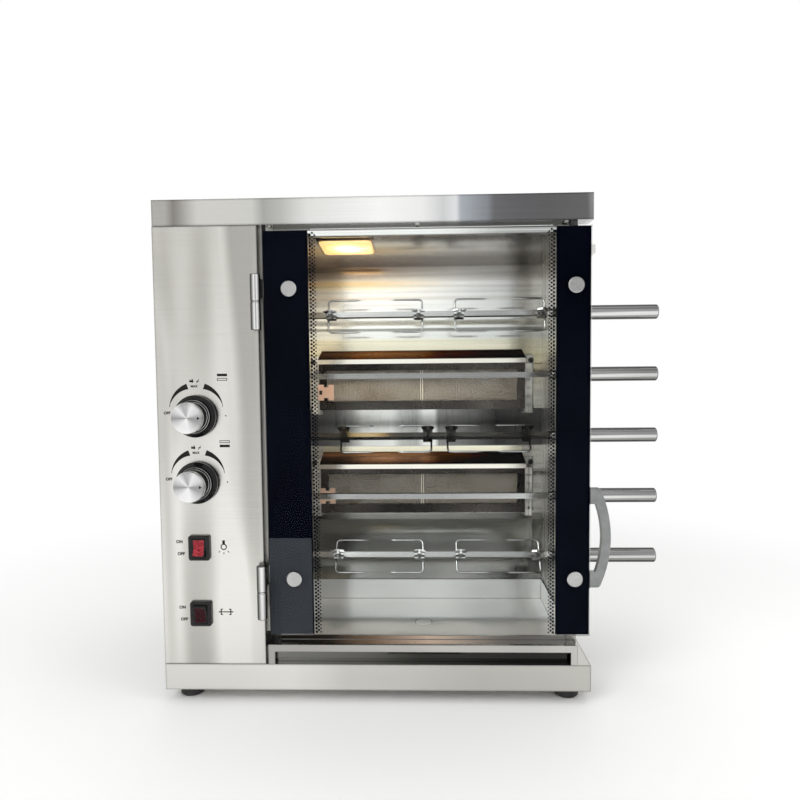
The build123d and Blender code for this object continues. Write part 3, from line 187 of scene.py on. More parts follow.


# Finishes

# Tone of the painted shade along folds and edges
edgeShadeTone = 0.22
wallBrush = {"grain": (500, 500, 4), "bands": (3, 9, 1.5), "warp": 0.3, "rough": (0.22, 0.3), "lines": "Z"}
sheetLooks = {
    "panelSteel": {
        "grain": (5, 700, 700), "bands": (15, 3, 1.6), "warp": 0.7, "rough": (0.2, 0.27), "lines": "X",
        "tones": [(0.47, 0.46, 0.43), (0.65, 0.64, 0.6), (0.84, 0.83, 0.79)], "fold": 0.0034},
    "sideSteel": {
        "grain": (700, 5, 700), "bands": (3, 9, 1.2), "warp": 0.5, "streak": 0.93, "rough": (0.22, 0.3),
        "lines": "Z", "tones": [(0.46, 0.45, 0.42), (0.6, 0.59, 0.55), (0.74, 0.73, 0.69)], "fold": 0.0034},
    "sillSteel": {
        "grain": (5, 700, 700), "bands": (6, 3, 1.6), "warp": 0.4, "rough": (0.08, 0.14), "lines": "X",
        "tones": [(0.44, 0.43, 0.41), (0.51, 0.5, 0.48), (0.58, 0.57, 0.54)], "fold": 0.0022,
        # Painted shade and a painted warm reflection in the recess behind the sill
        "deepAbove": 0.0992, "deepSpan": (ovenLeft + 0.18, ovenLeft + 0.69),
        "deep": [(0, (0.012, 0.012, 0.011)), (0.18, (0.03, 0.026, 0.022)), (0.32, (0.3, 0.2, 0.13)),
                 (0.5, (0.8, 0.62, 0.5)), (0.75, (0.46, 0.43, 0.4)), (1, (0.6, 0.6, 0.58))]},
    "ceilingSteel": {
        "grain": (500, 4, 500), "bands": (3, 5, 7), "warp": 0.3, "rough": (0.06, 0.1), "lines": "Z",
        "tones": [(0.17, 0.155, 0.14), (0.22, 0.205, 0.185), (0.27, 0.255, 0.235)],
        # Painted highlight along the front edge
        "frontSpan": (0.7645, 0.7805),
        "front": [(0, (0.1, 0.1, 0.09)), (0.12, (0.95, 0.95, 0.93)), (0.55, (0.95, 0.95, 0.93)),
                  (0.62, (0.24, 0.24, 0.23)), (1, (0.14, 0.14, 0.13))]},
    "reflectorSteel": {
        "grain": (4, 500, 500), "bands": (2, 5, 9), "warp": 0.5, "rough": (0.09, 0.16), "lines": "X",
        "tones": [(0.14, 0.14, 0.13), (0.26, 0.26, 0.245), (0.5, 0.49, 0.46)]},
    "wallSteel": {
        **wallBrush, "tones": [(0.34, 0.33, 0.31), (0.42, 0.41, 0.38), (0.52, 0.51, 0.48)], "metal": 0.8},
    "partitionSteel": {
        **wallBrush, "tones": [(0.7, 0.69, 0.66), (0.78, 0.77, 0.74), (0.88, 0.87, 0.84)], "metal": 0.5,
        "reach": 0.2,
        # Painted shade by the hinge strip and at its foot
        "gap": [(0, 0.03), (0.84, 0.03), (0.841, 0.8), (0.856, 0.8), (0.858, 0.04), (0.89, 0.03), (0.8925, 1),
                (1, 1)],
        "foot": [(0, 1), (0.431, 1), (0.434, 0.03), (0.5625, 0.03), (0.566, 1), (1, 1)]},
    "panSteel": {
        "grain": (4, 500, 500), "bands": (5, 4, 2), "warp": 0.3, "rough": (0.07, 0.14), "lines": "Z",
        "tones": [(0.86, 0.87, 0.86), (0.93, 0.94, 0.93), 1.0], "fold": 0.0026, "metal": 0.55},
    "bracketSteel": {
        "grain": (500, 500, 5), "bands": (9, 9, 20), "warp": 0.4, "streak": 0.92, "rough": (0.24, 0.34),
        "lines": "Z", "tones": [(0.5, 0.49, 0.46), (0.76, 0.75, 0.7), (0.94, 0.92, 0.86)], "fold": 0.0036,
        "metal": 0.4},
    "stileSteel": {
        "grain": (700, 700, 5), "bands": (3, 3, 2), "warp": 0.3, "rough": (0.4, 0.5), "lines": "Z",
        "tones": [(0.7, 0.69, 0.66), (0.76, 0.75, 0.72), (0.82, 0.81, 0.78)], "metal": 0.2},
}


def sheetSteel(name, look):
    # Rolled sheet: faint brush lines, soft waves of tone that are painted reflections, and reflections drawn
    # out across the lines
    material, tree, shader = startMaterial(name, {"Metallic": look.get("metal", 1.0), "Anisotropic": 0.6})
    grain = noisePattern(tree, look["grain"], 1.0, 3.0)
    bands = noisePattern(tree, look["bands"], 1.0, 1.0, look["warp"])
    base = ramp(bands, list(zip((0.34, 0.5, 0.64), look["tones"])))
    colour = multiplied(base, ramp(grain, [(0.3, look.get("streak", 0.95)), (0.7, 1)]))
    if "gap" in look:
        # Painted shade: dark on both sides of the hinge strip, where it runs in behind the panel and the door
        across = along(tree, "X", ovenLeft, ovenLeft + look["reach"])
        upward = along(tree, "Z", 0, look["reach"])
        paintedDark = multiplied(ramp(across, look["gap"]), ramp(upward, look["foot"]))
        colour = blendColours(tree, isFrontFace(tree), colour, multiplied(colour, paintedDark))
    if "front" in look:
        # Painted highlight: the polished front edge is painted bright where it catches the light
        edge = ramp(along(tree, "Z", *look["frontSpan"]), look["front"])
        colour = blendColours(tree, isFrontFace(tree), colour, edge)
    if "deep" in look:
        # Painted shade: the recess behind the sill is painted darker, with a painted warm reflection where it
        # faces the burners
        recess = ramp(along(tree, "X", *look["deepSpan"]), look["deep"])
        above = maths(tree, "GREATER_THAN", axisOf(tree, "Z"), look["deepAbove"])
        colour = blendColours(tree, above, colour, recess)
    if "fold" in look:
        colour = paintedEdgeShade(colour, look["fold"], edgeShadeTone)
    feed(shader, {"Base Color": colour, "Roughness": spread(grain, *look["rough"])})
    brushedRound(shader, look["lines"])
    bumped(shader, grain, 0.08, 0.0001)
    return material


# Cavity back wall: three sheets that meet at seams, and a polished plate between the burners
backWallLook = {
    "seams": [0.555, 0.4724, 0.3479], "seamWide": 0.0012, "plate": (0.396, 0.469), "plateRough": 0.17,
    "rough": (0.1, 0.13), "stretch": 0.92, "riseSpan": (0.1, 0.75), "ripple": (1.2, 2, 90), "rippleBy": 0.02,
    "lampSpan": (ovenLeft + 0.23, ovenLeft + 0.5), "wander": (14, 2, 4), "wanderBy": 0.05,
    "acrossSpan": (ovenLeft + 0.22, ovenLeft + 0.64), "seamTone": (0.05, 0.045, 0.04),
    "rise": [(0, (0.56, 0.56, 0.55)), (0.045, (0.6, 0.56, 0.52)), (0.054, (1, 0.76, 0.52)),
             (0.064, (0.26, 0.22, 0.2)), (0.1, (0.2, 0.195, 0.19)), (0.16, (0.32, 0.31, 0.3)),
             (0.26, (0.62, 0.61, 0.58)), (0.6, (0.84, 0.83, 0.78)), (0.7, (0.78, 0.7, 0.5)),
             (0.72, (0.9, 0.85, 0.62)), (0.775, (0.82, 0.8, 0.66)), (0.785, (0.82, 0.84, 0.82)),
             (0.802, (0.84, 0.87, 0.86)), (0.804, (0.3, 0.31, 0.29)), (0.809, (0.32, 0.33, 0.31)),
             (0.811, (0.92, 0.94, 0.93)), (0.92, (0.98, 0.98, 0.97)), (0.945, (0.96, 0.95, 0.93)),
             (0.965, (0.52, 0.51, 0.48)), (1, (0.34, 0.32, 0.3))],
    "warm": [(0.885, 1), (0.9, (1, 0.9, 0.8)), (0.918, (1, 0.98, 0.94)), (0.935, (1, 0.84, 0.56)),
             (0.945, (0.95, 0.66, 0.34)), (0.955, (1, 0.86, 0.66)), (0.965, (0.8, 0.66, 0.55)),
             (1, (0.6, 0.45, 0.36))],
    "across": [(0, 0.1), (0.1, 0.16), (0.165, 0.4), (0.22, 0.95), (0.36, 0.97), (0.4, 0.6), (0.47, 0.5),
               (0.505, 0.97), (0.555, 0.97), (0.575, 0.3), (0.68, 0.2), (0.76, 0.12), (0.84, 0.04),
               (1, 0.08)],
}


def backWallSteel(name, look):
    material, tree, shader = startMaterial(name, {"Metallic": 0.9, "Anisotropic": look["stretch"]})
    height = axisOf(tree, "Z")
    ripple = noisePattern(tree, look["ripple"], 1.0, 1.0)
    upward = along(tree, "Z", *look["riseSpan"], ripple, look["rippleBy"])
    # Painted reflections in bands up the wall, and painted warm light from the oven lamp under it
    rise = ramp(upward, look["rise"])
    underLamp = ramp(along(tree, "X", *look["lampSpan"]), [(0.35, 1), (1, 0)])
    paintedLampLight = multiplied(rise, ramp(upward, look["warm"]))
    lines = ramp(ripple, [(0.4, (0.86, 0.85, 0.83)), (0.5, 1)])
    colour = multiplied(blendColours(tree, underLamp, rise, paintedLampLight), lines)
    # Painted reflections: upright bands on the polished plate
    across = along(tree, "X", *look["acrossSpan"], noisePattern(tree, look["wander"]), look["wanderBy"])
    bands = ramp(across, [(at, (tone, tone, tone * 0.97)) for at, tone in look["across"]])
    onPlate = isNear(tree, height, *look["plate"])
    colour = blendColours(tree, onPlate, colour, bands)
    for seam in look["seams"]:
        onSeam = isNear(tree, height, seam - look["seamWide"] / 2, seam + look["seamWide"] / 2)
        colour = blendColours(tree, onSeam, colour, look["seamTone"])
    polish = spread(noisePattern(tree, (600, 600, 4), 1.0, 3.0), *look["rough"])
    rough = maths(tree, "MULTIPLY_ADD", onPlate, look["plateRough"], polish)
    feed(shader, {"Base Color": colour, "Roughness": rough})
    brushedRound(shader, "Z")
    return material


fasciaLong = 0.7
longLooks = {
    "canopySteel": {
        "rough": (0.14, 0.2), "wander": 0.03, "fold": 0.004,
        "along": [(0, (0.6, 0.59, 0.56)), (0.035, (0.58, 0.57, 0.54)), (0.055, (0.33, 0.32, 0.3)),
                  (0.075, (0.46, 0.45, 0.42)), (0.11, (0.76, 0.75, 0.72)), (0.17, (0.7, 0.69, 0.66)),
                  (0.235, (0.66, 0.66, 0.63)), (0.262, (0.43, 0.43, 0.41)), (0.3, (0.52, 0.52, 0.5)),
                  (0.36, (0.8, 0.8, 0.78)), (0.52, (0.98, 0.98, 0.96)), (0.62, (0.9, 0.9, 0.89)),
                  (0.665, (0.7, 0.71, 0.71)), (0.695, (0.9, 0.91, 0.92)), (0.705, (0.5, 0.54, 0.58)),
                  (0.765, (0.4, 0.42, 0.45)), (0.78, (0.26, 0.26, 0.27)), (0.9, 0.27), (0.985, 0.32),
                  (1, 0.75)]},
    # Painted shade: the tray is painted dark where it sits in its recess behind the sill lip
    "trayShadeSteel": {
        "rough": (0.1, 0.16), "wander": 0.06, "fold": 0.001,
        "along": [(0, (0.2, 0.2, 0.19)), (0.28, (0.2, 0.2, 0.19)), (0.45, (0.14, 0.14, 0.13)),
                  (0.6, (0.05, 0.05, 0.045)), (0.85, (0.03, 0.03, 0.028)), (1, 0.03)]},
    "plinthSteel": {
        "rough": (0.2, 0.27), "wander": 0.1, "fold": 0.0036,
        "along": [(0, (0.74, 0.73, 0.69)), (0.18, (0.8, 0.79, 0.75)), (0.3, (0.86, 0.85, 0.81)),
                  (0.42, (0.7, 0.69, 0.66)), (0.6, (0.66, 0.65, 0.62)), (0.75, (0.58, 0.57, 0.54)),
                  (1, (0.6, 0.59, 0.55))]},
}


def longSteel(name, look):
    # A long fascia whose tone changes along its length: painted reflections on the canopy and plinth, painted
    # shade on the tray
    material, tree, shader = startMaterial(name, {"Metallic": 1.0, "Anisotropic": 0.6})
    across = along(tree, "X", ovenLeft, ovenLeft + fasciaLong, noisePattern(tree, (9, 2, 3)), look["wander"])
    grain = noisePattern(tree, (5, 700, 700), 1.0, 3.0)
    streaks = ramp(grain, [(0.3, 0.94), (0.7, 1)])
    tones = multiplied(ramp(across, look["along"]), streaks)
    colour = paintedEdgeShade(tones, look["fold"], edgeShadeTone)
    feed(shader, {"Base Color": colour, "Roughness": spread(grain, *look["rough"])})
    brushedRound(shader, "X")
    bumped(shader, grain, 0.08, 0.0001)
    return material


plainLooks = {
    "rubberBlack": {"tones": [0.012, 0.03], "rough": (0.55, 0.75), "grain": 900, "bump": 0.3},
    "glandNylon": {
        "tones": [(0.02, 0.02, 0.021), (0.035, 0.035, 0.036)], "rough": (0.4, 0.5), "grain": 700,
        "bump": 0.15},
    "knobBlack": {"tones": [0.003, 0.006], "rough": (0.1, 0.16), "grain": 500, "bump": 0.04, "sheen": 0.22},
    "bezelBlack": {
        "tones": [0.005, (0.012, 0.011, 0.011)], "rough": (0.18, 0.28), "grain": 900, "bump": 0.1,
        "sheen": 0.3},
    "catchGrey": {"tones": [0.05, 0.1], "metal": 0.5, "rough": (0.4, 0.55), "grain": 400, "bump": 0.1},
    "fastenerSteel": {
        "tones": [(0.5, 0.5, 0.48), (0.64, 0.64, 0.61)], "metal": 1.0, "rough": (0.22, 0.34), "bump": 0.05},
    "satinSteel": {
        "tones": [(0.25, 0.26, 0.255), (0.31, 0.32, 0.315)], "metal": 1.0, "rough": (0.34, 0.44),
        "grain": 600, "bump": 0.03},
    # Painted shadow: the burner housings are painted near black for the shade under the hoods
    "burnerShadowSteel": {
        "tones": [(0.018, 0.016, 0.014), (0.1, 0.09, 0.08)], "metal": 1.0, "rough": (0.22, 0.36), "grain": 60,
        "bump": 0.05},
    "igniterCopper": {
        "tones": [(0.8, 0.5, 0.36), (0.92, 0.66, 0.52)], "metal": 0.5, "rough": (0.3, 0.45), "grain": 250,
        "bump": 0.1},
    "strainerSteel": {"tones": [(0.8, 0.81, 0.8), (0.88, 0.89, 0.88)], "metal": 0.3, "rough": (0.1, 0.16)},
    "boltBlack": {
        "tones": [(0.02, 0.02, 0.018), (0.05, 0.05, 0.045)], "metal": 0.6, "rough": (0.25, 0.4),
        "bump": 0.05},
    "valveBrass": {
        "tones": [(0.58, 0.42, 0.16), (0.72, 0.55, 0.25)], "metal": 1.0, "rough": (0.25, 0.38), "bump": 0.08},
    "pipeAluminium": {
        "tones": [(0.62, 0.63, 0.64), (0.74, 0.75, 0.76)], "metal": 1.0, "rough": (0.3, 0.42), "bump": 0.08},
    "motorPaint": {"tones": [(0.05, 0.055, 0.06), (0.09, 0.095, 0.1)], "rough": (0.4, 0.55), "bump": 0.1},
    "gearSteel": {"tones": [0.34, 0.52], "metal": 1.0, "rough": (0.26, 0.42), "bump": 0.1},
    "printBlack": {
        "tones": [(0.006, 0.005, 0.004), (0.012, 0.01, 0.009)], "rough": (0.35, 0.5), "grain": 800,
        "sheen": 0.2},
    "glassPrint": {
        "tones": [(0.0004, 0.0008, 0.003), (0.0008, 0.0015, 0.005)], "rough": (0.4, 0.5), "grain": 100,
        "sheen": 0.0, "paintedReflection": {"X": ovenLeft + 0.246, "Z": 0.274, "tone": (0.042, 0.048, 0.056)}},
}


def plainFinish(name, look):
    basics = {"Metallic": look.get("metal", 0.0), "Specular IOR Level": look.get("sheen", 0.5)}
    material, tree, shader = startMaterial(name, basics)
    fine = look.get("grain", 300)
    grain = noisePattern(tree, (1, 1, 1), fine, 3.0)
    clouds = noisePattern(tree, (1, 1, 1), fine / 12)
    colour = ramp(clouds, list(zip((0.35, 0.65), look["tones"])))
    if "paintedReflection" in look:
        # Painted reflection: one corner of the print is painted a paler slate
        inPaintedReflection = [maths(tree, "LESS_THAN", axisOf(tree, axis), look["paintedReflection"][axis]) for axis in ("X", "Z")]
        colour = blendColours(tree, maths(tree, "MINIMUM", *inPaintedReflection), colour, look["paintedReflection"]["tone"])
    feed(shader, {"Base Color": colour, "Roughness": spread(grain, *look["rough"])})
    if look.get("bump"):
        bumped(shader, grain, look["bump"], 0.0001)
    return material


roundLooks = {
    "spitSteel": {
        "drawn": (6, 900, 900), "tone": (0.8, 1.0), "long": (4, 1, 9), "rough": (0.12, 0.2),
        "sheen": [(0, 0.34), (0.02, 0.42), (0.05, 0.84), (0.12, 0.74), (0.19, 0.3), (0.28, 0.4), (0.38, 0.12),
                  (0.6, 0.03), (1, 0.02)]},
    "forkChrome": {
        "drawn": (300, 300, 300), "tone": (0.85, 1.0), "long": (60, 60, 60), "rough": (0.06, 0.14),
        "sheen": [(0, 0.62), (0.04, 0.95), (0.09, 0.34), (0.16, 0.4), (0.26, 0.08), (0.5, 0.02), (1, 0.02)]},
    "hingeSteel": {
        "drawn": (500, 500, 8), "tone": (0.92, 1.0), "long": (3, 3, 6), "rough": (0.2, 0.28),
        "sheen": [(0, 0.6), (0.03, 0.92), (0.08, 0.8), (0.14, 0.46), (0.25, 0.24), (0.42, 0.07), (1, 0.03)]},
    "capSteel": {
        "drawn": (600, 600, 600), "tone": (0.94, 1.0), "long": (60, 60, 60), "rough": (0.24, 0.34),
        "sheen": [(0, 0.52), (0.1, 0.54), (0.22, 0.92), (0.36, 0.6), (0.55, 0.06), (1, 0.03)]},
}


def roundSteel(name, look):
    # Drawn or turned metal: fine lines, a slow change of tone, and a painted highlight with painted shade
    # towards its outline
    material, tree, shader = startMaterial(name, {"Metallic": 1.0})
    drawn = noisePattern(tree, look["drawn"])
    slow = noisePattern(tree, look["long"], 1.0, 1.0)
    tones = ramp(slow, list(zip((0.36, 0.6), look["tone"])))
    fine = ramp(drawn, [(0.3, 0.92), (0.7, 1)])
    colour = multiplied(paintedSheen(tree, look["sheen"]), multiplied(tones, fine))
    feed(shader, {"Base Color": colour, "Roughness": spread(drawn, *look["rough"])})
    return material


def clearGlass(name):
    clear = {"Base Color": (0.97, 0.985, 0.98, 1), "Roughness": 0.0, "IOR": 1.13, "Transmission Weight": 1.0}
    material, tree, shader = startMaterial(name, clear)
    smears = noisePattern(tree, (3, 3, 1.2), 6.0, 3.0)
    feed(shader, {"Roughness": spread(smears, 0.0, 0.02, 0.45, 0.8)})
    return material


lampLook = {
    "ribs": 330.0, "strength": 1.7, "core": (1, 0.9, 0.62), "middle": (0.95, 0.64, 0.2),
    "rim": (0.5, 0.3, 0.07),
}


def litLampGlass(name, look):
    # The lamp is lit in the photograph: brightest over the bulb, deep orange at the rim
    lit = {"Base Color": (1, 0.85, 0.6, 1), "Roughness": 0.15, "Emission Strength": look["strength"]}
    material, tree, shader = startMaterial(name, lit)
    low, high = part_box("lamp_glass")
    middle = (low + high) / 2
    reach = (high - low) / 2
    vector = objectPattern(tree, (1 / reach.x, 1 / reach.y, 0), (-middle.x / reach.x, -middle.y / reach.y, 0))
    glow = addNode(tree, "TexGradient", {"Vector": vector}, gradient_type="SPHERICAL")
    waves = {"Vector": objectPattern(tree), "Scale": look["ribs"], "Distortion": 0.2}
    ribs = addNode(tree, "TexWave", waves, bands_direction="X")
    stops = [(0, look["rim"]), (0.3, look["middle"]), (0.75, look["core"])]
    feed(shader, {"Emission Color": ramp(glow.outputs["Fac"], stops)})
    bumped(shader, ribs.outputs["Fac"], 0.4, 0.0006)
    return material


plaqueLook = {
    "speck": 560.0, "clay": (0.52, 0.48, 0.42), "shade": (0.06, 0.048, 0.04), "seam": (0.78, 0.72, 0.6),
    "seamWide": 0.005, "middle": (plaqueLow.x + plaqueHigh.x) / 2,
}


def plaqueCeramic(name, look):
    # Fired clay with thousands of fine ports painted as dark specks of shade, and a paler joint between the
    # two tiles
    material, tree, shader = startMaterial(name, {"Roughness": 0.85})
    speck = noisePattern(tree, (1, 0.1, 1), look["speck"])
    ports = ramp(speck, [(0.42, look["shade"]), (0.58, look["clay"])])
    stain = ramp(noisePattern(tree, (1, 1, 1), 22.0, 3.0), [(0.3, (0.66, 0.6, 0.54)), (0.7, 1)])
    half = look["seamWide"] / 2
    joint = isNear(tree, axisOf(tree, "X"), look["middle"] - half, look["middle"] + half)
    colour = blendColours(tree, joint, multiplied(ports, stain), look["seam"])
    feed(shader, {"Base Color": colour})
    bumped(shader, speck, 0.5, 0.0008)
    return material


hoodLook = {
    "foot": 0.359, "step": 0.199, "rise": 0.037, "span": (ovenLeft + 0.234, ovenLeft + 0.624),
    "wanderBy": 0.2, "grazing": (0.36, 0.29, 0.25, 1), "slope": [(0.23, 0), (0.24, 1), (0.68, 1), (0.69, 0)],
    "up": [(0, (1.0, 0.97, 0.88)), (0.215, (1, 0.96, 0.86)), (0.245, (0.04, 0.025, 0.02)),
           (0.33, (0.3, 0.16, 0.1)), (0.5, (0.52, 0.29, 0.18)), (0.62, (0.34, 0.19, 0.12)),
           (0.67, (0.1, 0.06, 0.04)), (0.7, (0.86, 0.8, 0.62)), (1, (0.9, 0.86, 0.7))],
    "along": [(0, 0.6), (0.3, 1.0), (0.5, 0.8), (0.58, 0.3), (0.8, 0.06), (1, 0.02)],
}


def hoodSteel(name, look):
    # Heat has coloured the hoods brown on the slope and straw at the root; the bright lip is a painted
    # highlight, and the slope darkens to the right as painted shade
    material, tree, shader = startMaterial(name, {"Metallic": 1.0, "Specular Tint": look["grazing"]})
    stepped = maths(tree, "MODULO", maths(tree, "SUBTRACT", axisOf(tree, "Z"), look["foot"]), look["step"])
    height = spread(stepped, 0, 1, 0.0, look["rise"])
    colour = ramp(height, look["up"])
    wander = noisePattern(tree, (9, 2, 2), 1.0, 1.0)
    shade = ramp(along(tree, "X", *look["span"], wander, look["wanderBy"]), look["along"])
    slope = ramp(height, look["slope"])
    colour = blendColours(tree, slope, colour, multiplied(colour, shade))
    feed(shader, {"Base Color": colour, "Roughness": spread(wander, 0.14, 0.24)})
    return material


knobFaceLook = {
    "rings": 260.0, "ring": (0.9, 1.0),
    "paintedWedges": [(0, 0.34), (0.05, 0.62), (0.14, 0.9), (0.27, 0.95), (0.36, 0.66), (0.44, 0.4), (0.5, 0.34),
               (0.58, 0.72), (0.68, 0.86), (0.74, 0.52), (0.8, 0.46), (0.87, 0.88), (0.94, 0.62), (1, 0.34)],
}


def spunChrome(name, centre, look):
    # Turned face: fine concentric rings crossed by bright and dark wedges of painted reflection
    material, tree, shader = startMaterial(name, {"Metallic": 1.0, "Anisotropic": 0.75, "Roughness": 0.18})
    fromCentre = objectPattern(tree, place=tuple(-v for v in centre))
    waves = {"Vector": fromCentre, "Scale": look["rings"], "Distortion": 0.6}
    rings = addNode(tree, "TexWave", waves, wave_type="RINGS", rings_direction="Y").outputs["Fac"]
    fine = ramp(rings, list(zip((0.1, 0.9), look["ring"])))
    flat = objectPattern(tree, place=(-centre.x, -centre.z, centre.y), turn=(radians(-90), 0, 0))
    sweep = addNode(tree, "TexGradient", {"Vector": flat}, gradient_type="RADIAL").outputs["Fac"]
    paintedWedges = ramp(sweep, [(at, (tone, tone * 1.005, tone)) for at, tone in look["paintedWedges"]])
    feed(shader, {"Base Color": multiplied(paintedWedges, fine)})
    brushedRound(shader, "Y")
    bumped(shader, rings, 0.05, 0.0001)
    return material


lensLooks = {
    "upper": {"deep": (0.1, 0.002, 0.006), "bright": (0.44, 0.045, 0.06), "glow": 0.1},
    "lower": {"deep": (0.008, 0.0005, 0.001), "bright": (0.045, 0.002, 0.006), "glow": 0.01},
}


def rockerLens(name, look):
    # A clear red lens with a moulded lattice behind it
    clear = {"Roughness": 0.14, "Specular IOR Level": 0.14, "Emission Strength": look["glow"]}
    material, tree, shader = startMaterial(name, clear)
    lattice = noisePattern(tree, (1, 1, 1), 420.0, 1.0)
    colour = ramp(lattice, [(0.38, look["deep"]), (0.6, look["bright"])])
    feed(shader, {"Base Color": colour, "Emission Color": colour})
    bumped(shader, lattice, 0.5, 0.0012)
    return material


finishes = {"clearGlass": clearGlass("clearGlass")}
for maker, looks in (
        (sheetSteel, sheetLooks), (plainFinish, plainLooks), (longSteel, longLooks), (roundSteel, roundLooks),
        (backWallSteel, {"backWallSteel": backWallLook}), (litLampGlass, {"litLampGlass": lampLook}),
        (plaqueCeramic, {"plaqueCeramic": plaqueLook}), (hoodSteel, {"hoodSteel": hoodLook})):
    for name, look in looks.items():
        finishes[name] = maker(name, look)

nodeFinishes = {
    "canopySteel": "canopy",
    "panelSteel": "control_panel rear_panel",
    "plinthSteel": "base_plinth",
    "sillSteel": "sill_lip lamp_housing",
    "trayShadeSteel": "drip_tray plinth_angles",
    "sideSteel": "left_side_panel right_side_panel",
    "wallSteel": "cavity_right_wall",
    "partitionSteel": "partition_wall",
    "ceilingSteel": "cavity_ceiling",
    "backWallSteel": "cavity_back_wall",
    "reflectorSteel": "lower_reflector",
    "hoodSteel": "burner_hoods",
    "panSteel": "grease_pan",
    "bracketSteel": "burner_brackets",
    "rubberBlack": "rubber_feet",
    "fastenerSteel": "sheet_screws gear_frame gas_manifold",
    "hingeSteel": "hinge_pins hinge_knuckles",
    "glandNylon": "cable_gland",
    "clearGlass": "door_glass",
    "litLampGlass": "lamp_glass",
    "stileSteel": "door_stiles",
    "satinSteel": "door_handle",
    "capSteel": "door_caps",
    "catchGrey": "door_catch",
    "burnerShadowSteel": "burner_housings",
    "plaqueCeramic": "burner_plaques",
    "igniterCopper": "igniters",
    "valveBrass": "gas_valves upper_valve_plug lower_valve_plug shaft_bushes",
    "pipeAluminium": "burner_pipes",
    "motorPaint": "gearmotor",
    "gearSteel": "gear_shaft_1 gear_shaft_2 gear_shaft_3 gear_shaft_4 gear_shaft_5",
    "spitSteel": "spit_1 spit_2 spit_3 spit_4 spit_5",
    "forkChrome": "spit_forks_1 spit_forks_3 spit_forks_5 upper_knob_cap lower_knob_cap",
    "knobBlack": "upper_knob_skirt lower_knob_skirt",
    "bezelBlack": "switch_bezels upper_rocker lower_rocker",
}
for finish, names in nodeFinishes.items():
    for name in names.split():
        if name in nodes:
            nodes[name].data.materials.clear()
            nodes[name].data.materials.append(finishes[finish])
undressed = sorted(set(nodes) - set(" ".join(nodeFinishes.values()).split()))
print("CAD pieces finished; left without a finish:", undressed)

# Small helpers for pieces


def meshObject(name, bm, materials):
    mesh = bpy.data.meshes.new(name)
    bm.to_mesh(mesh)
    bm.free()
    for material in materials:
        mesh.materials.append(material)
    made = bpy.data.objects.new(name, mesh)
    scene.collection.objects.link(made)
    return made


def finishPiece(name, bm, body, materials, smoothAngle):
    bmesh.ops.recalc_face_normals(bm, faces=bm.faces)
    piece = meshObject(name, bm, materials)
    piece.data.shade_smooth()
    piece.data.set_sharp_from_angle(angle=radians(smoothAngle))
    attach(piece, body)
    return piece


def facing(x, y, z, scale=(1, 1), turn=0.0):
    # A flat shape drawn in its own XY plane comes to face the front
    upright = Matrix.Rotation(radians(90), 4, "X") @ Matrix.Rotation(radians(turn), 4, "Z")
    return Matrix.Translation((x, y, z)) @ upright @ Matrix.Diagonal((*scale, 1, 1))


def bar(bm, place):
    return bmesh.ops.create_grid(bm, x_segments=1, y_segments=1, size=0.5, matrix=place)["verts"]


def disc(bm, place, sides=12):
    return bmesh.ops.create_circle(bm, cap_ends=True, radius=0.5, segments=sides, matrix=place)["verts"]


def hollow(bm, verts, width):
    # Turns a flat filled shape into its outline
    face = next(f for f in verts[0].link_faces if len(f.verts) == len(verts))
    bmesh.ops.inset_region(bm, faces=[face], thickness=width, use_boundary=True, use_even_offset=True)
    bmesh.ops.delete(bm, geom=[face], context="FACES_ONLY")


def thicken(bm, amount):
    # A flat shape gets a thickness, towards the front
    for face in bm.faces:
        if face.normal.y > 0:
            face.normal_flip()
    made = bmesh.ops.extrude_face_region(bm, geom=bm.faces[:], use_keep_orig=True)["geom"]
    bmesh.ops.translate(bm, verts=[v for v in made if isinstance(v, bmesh.types.BMVert)], vec=(0, -amount, 0))


def softened(bm, edges, offset, segments):
    bmesh.ops.bevel(bm, geom=edges, offset=offset, offset_type="OFFSET", segments=segments, profile=0.5,
                    affect="EDGES", material=-1)


def wordInto(bm, text, size, place):
    curve = bpy.data.curves.new("word", "FONT")
    curve.body = text
    curve.size = size
    curve.offset = size * 0.045
    curve.align_x = "CENTER"
    curve.align_y = "CENTER"
    holder = bpy.data.objects.new("word", curve)
    scene.collection.objects.link(holder)
    mesh = bpy.data.meshes.new_from_object(holder.evaluated_get(bpy.context.evaluated_depsgraph_get()))
    bpy.data.objects.remove(holder)
    mesh.transform(place)
    bm.from_mesh(mesh)
    bpy.data.meshes.remove(mesh)


def block(bm, place, size):
    bmesh.ops.create_cube(bm, size=1.0, matrix=place @ Matrix.Diagonal((*size, 1)))


def spinLoop(bm, verts, centre, axis, steps):
    edges = [bm.edges.new(pair) for pair in zip(verts, verts[1:] + verts[:1])]
    bmesh.ops.spin(bm, geom=verts + edges, cent=centre, axis=axis, angle=2 * pi, steps=steps, use_merge=True)


def cylinder(bm, sides, radius, depth, matrix):
    made = bmesh.ops.create_cone(bm, cap_ends=True, segments=sides, radius1=radius, radius2=radius,
                                 depth=depth, matrix=matrix)
    return made["verts"]


def turned(section, centre, steps=64):
    # A closed section of (radius, distance in front of the panel) turned round the knob's axis
    bm = bmesh.new()
    verts = [bm.verts.new((centre.x + r, centre.y - d, centre.z)) for r, d in section]
    spinLoop(bm, verts, centre, (0, 1, 0), steps)
    bmesh.ops.remove_doubles(bm, verts=bm.verts, dist=1e-6)
    bmesh.ops.dissolve_degenerate(bm, dist=1e-7, edges=bm.edges)
    return bm


# Print on the back of the door glass: two solid bands, each fading out in rows of dots

doorPrint = {
    "leftSolid": 0.0728, "rightSolid": 0.0552, "film": 0.0003, "inGlass": 0.0001, "inset": 0.0005,
    "shorter": 0.002, "columns": [0.0036, 0.0074, 0.0108], "radii": [0.002, 0.0018, 0.0013], "pitch": 0.006,
    "margin": 0.003,
}


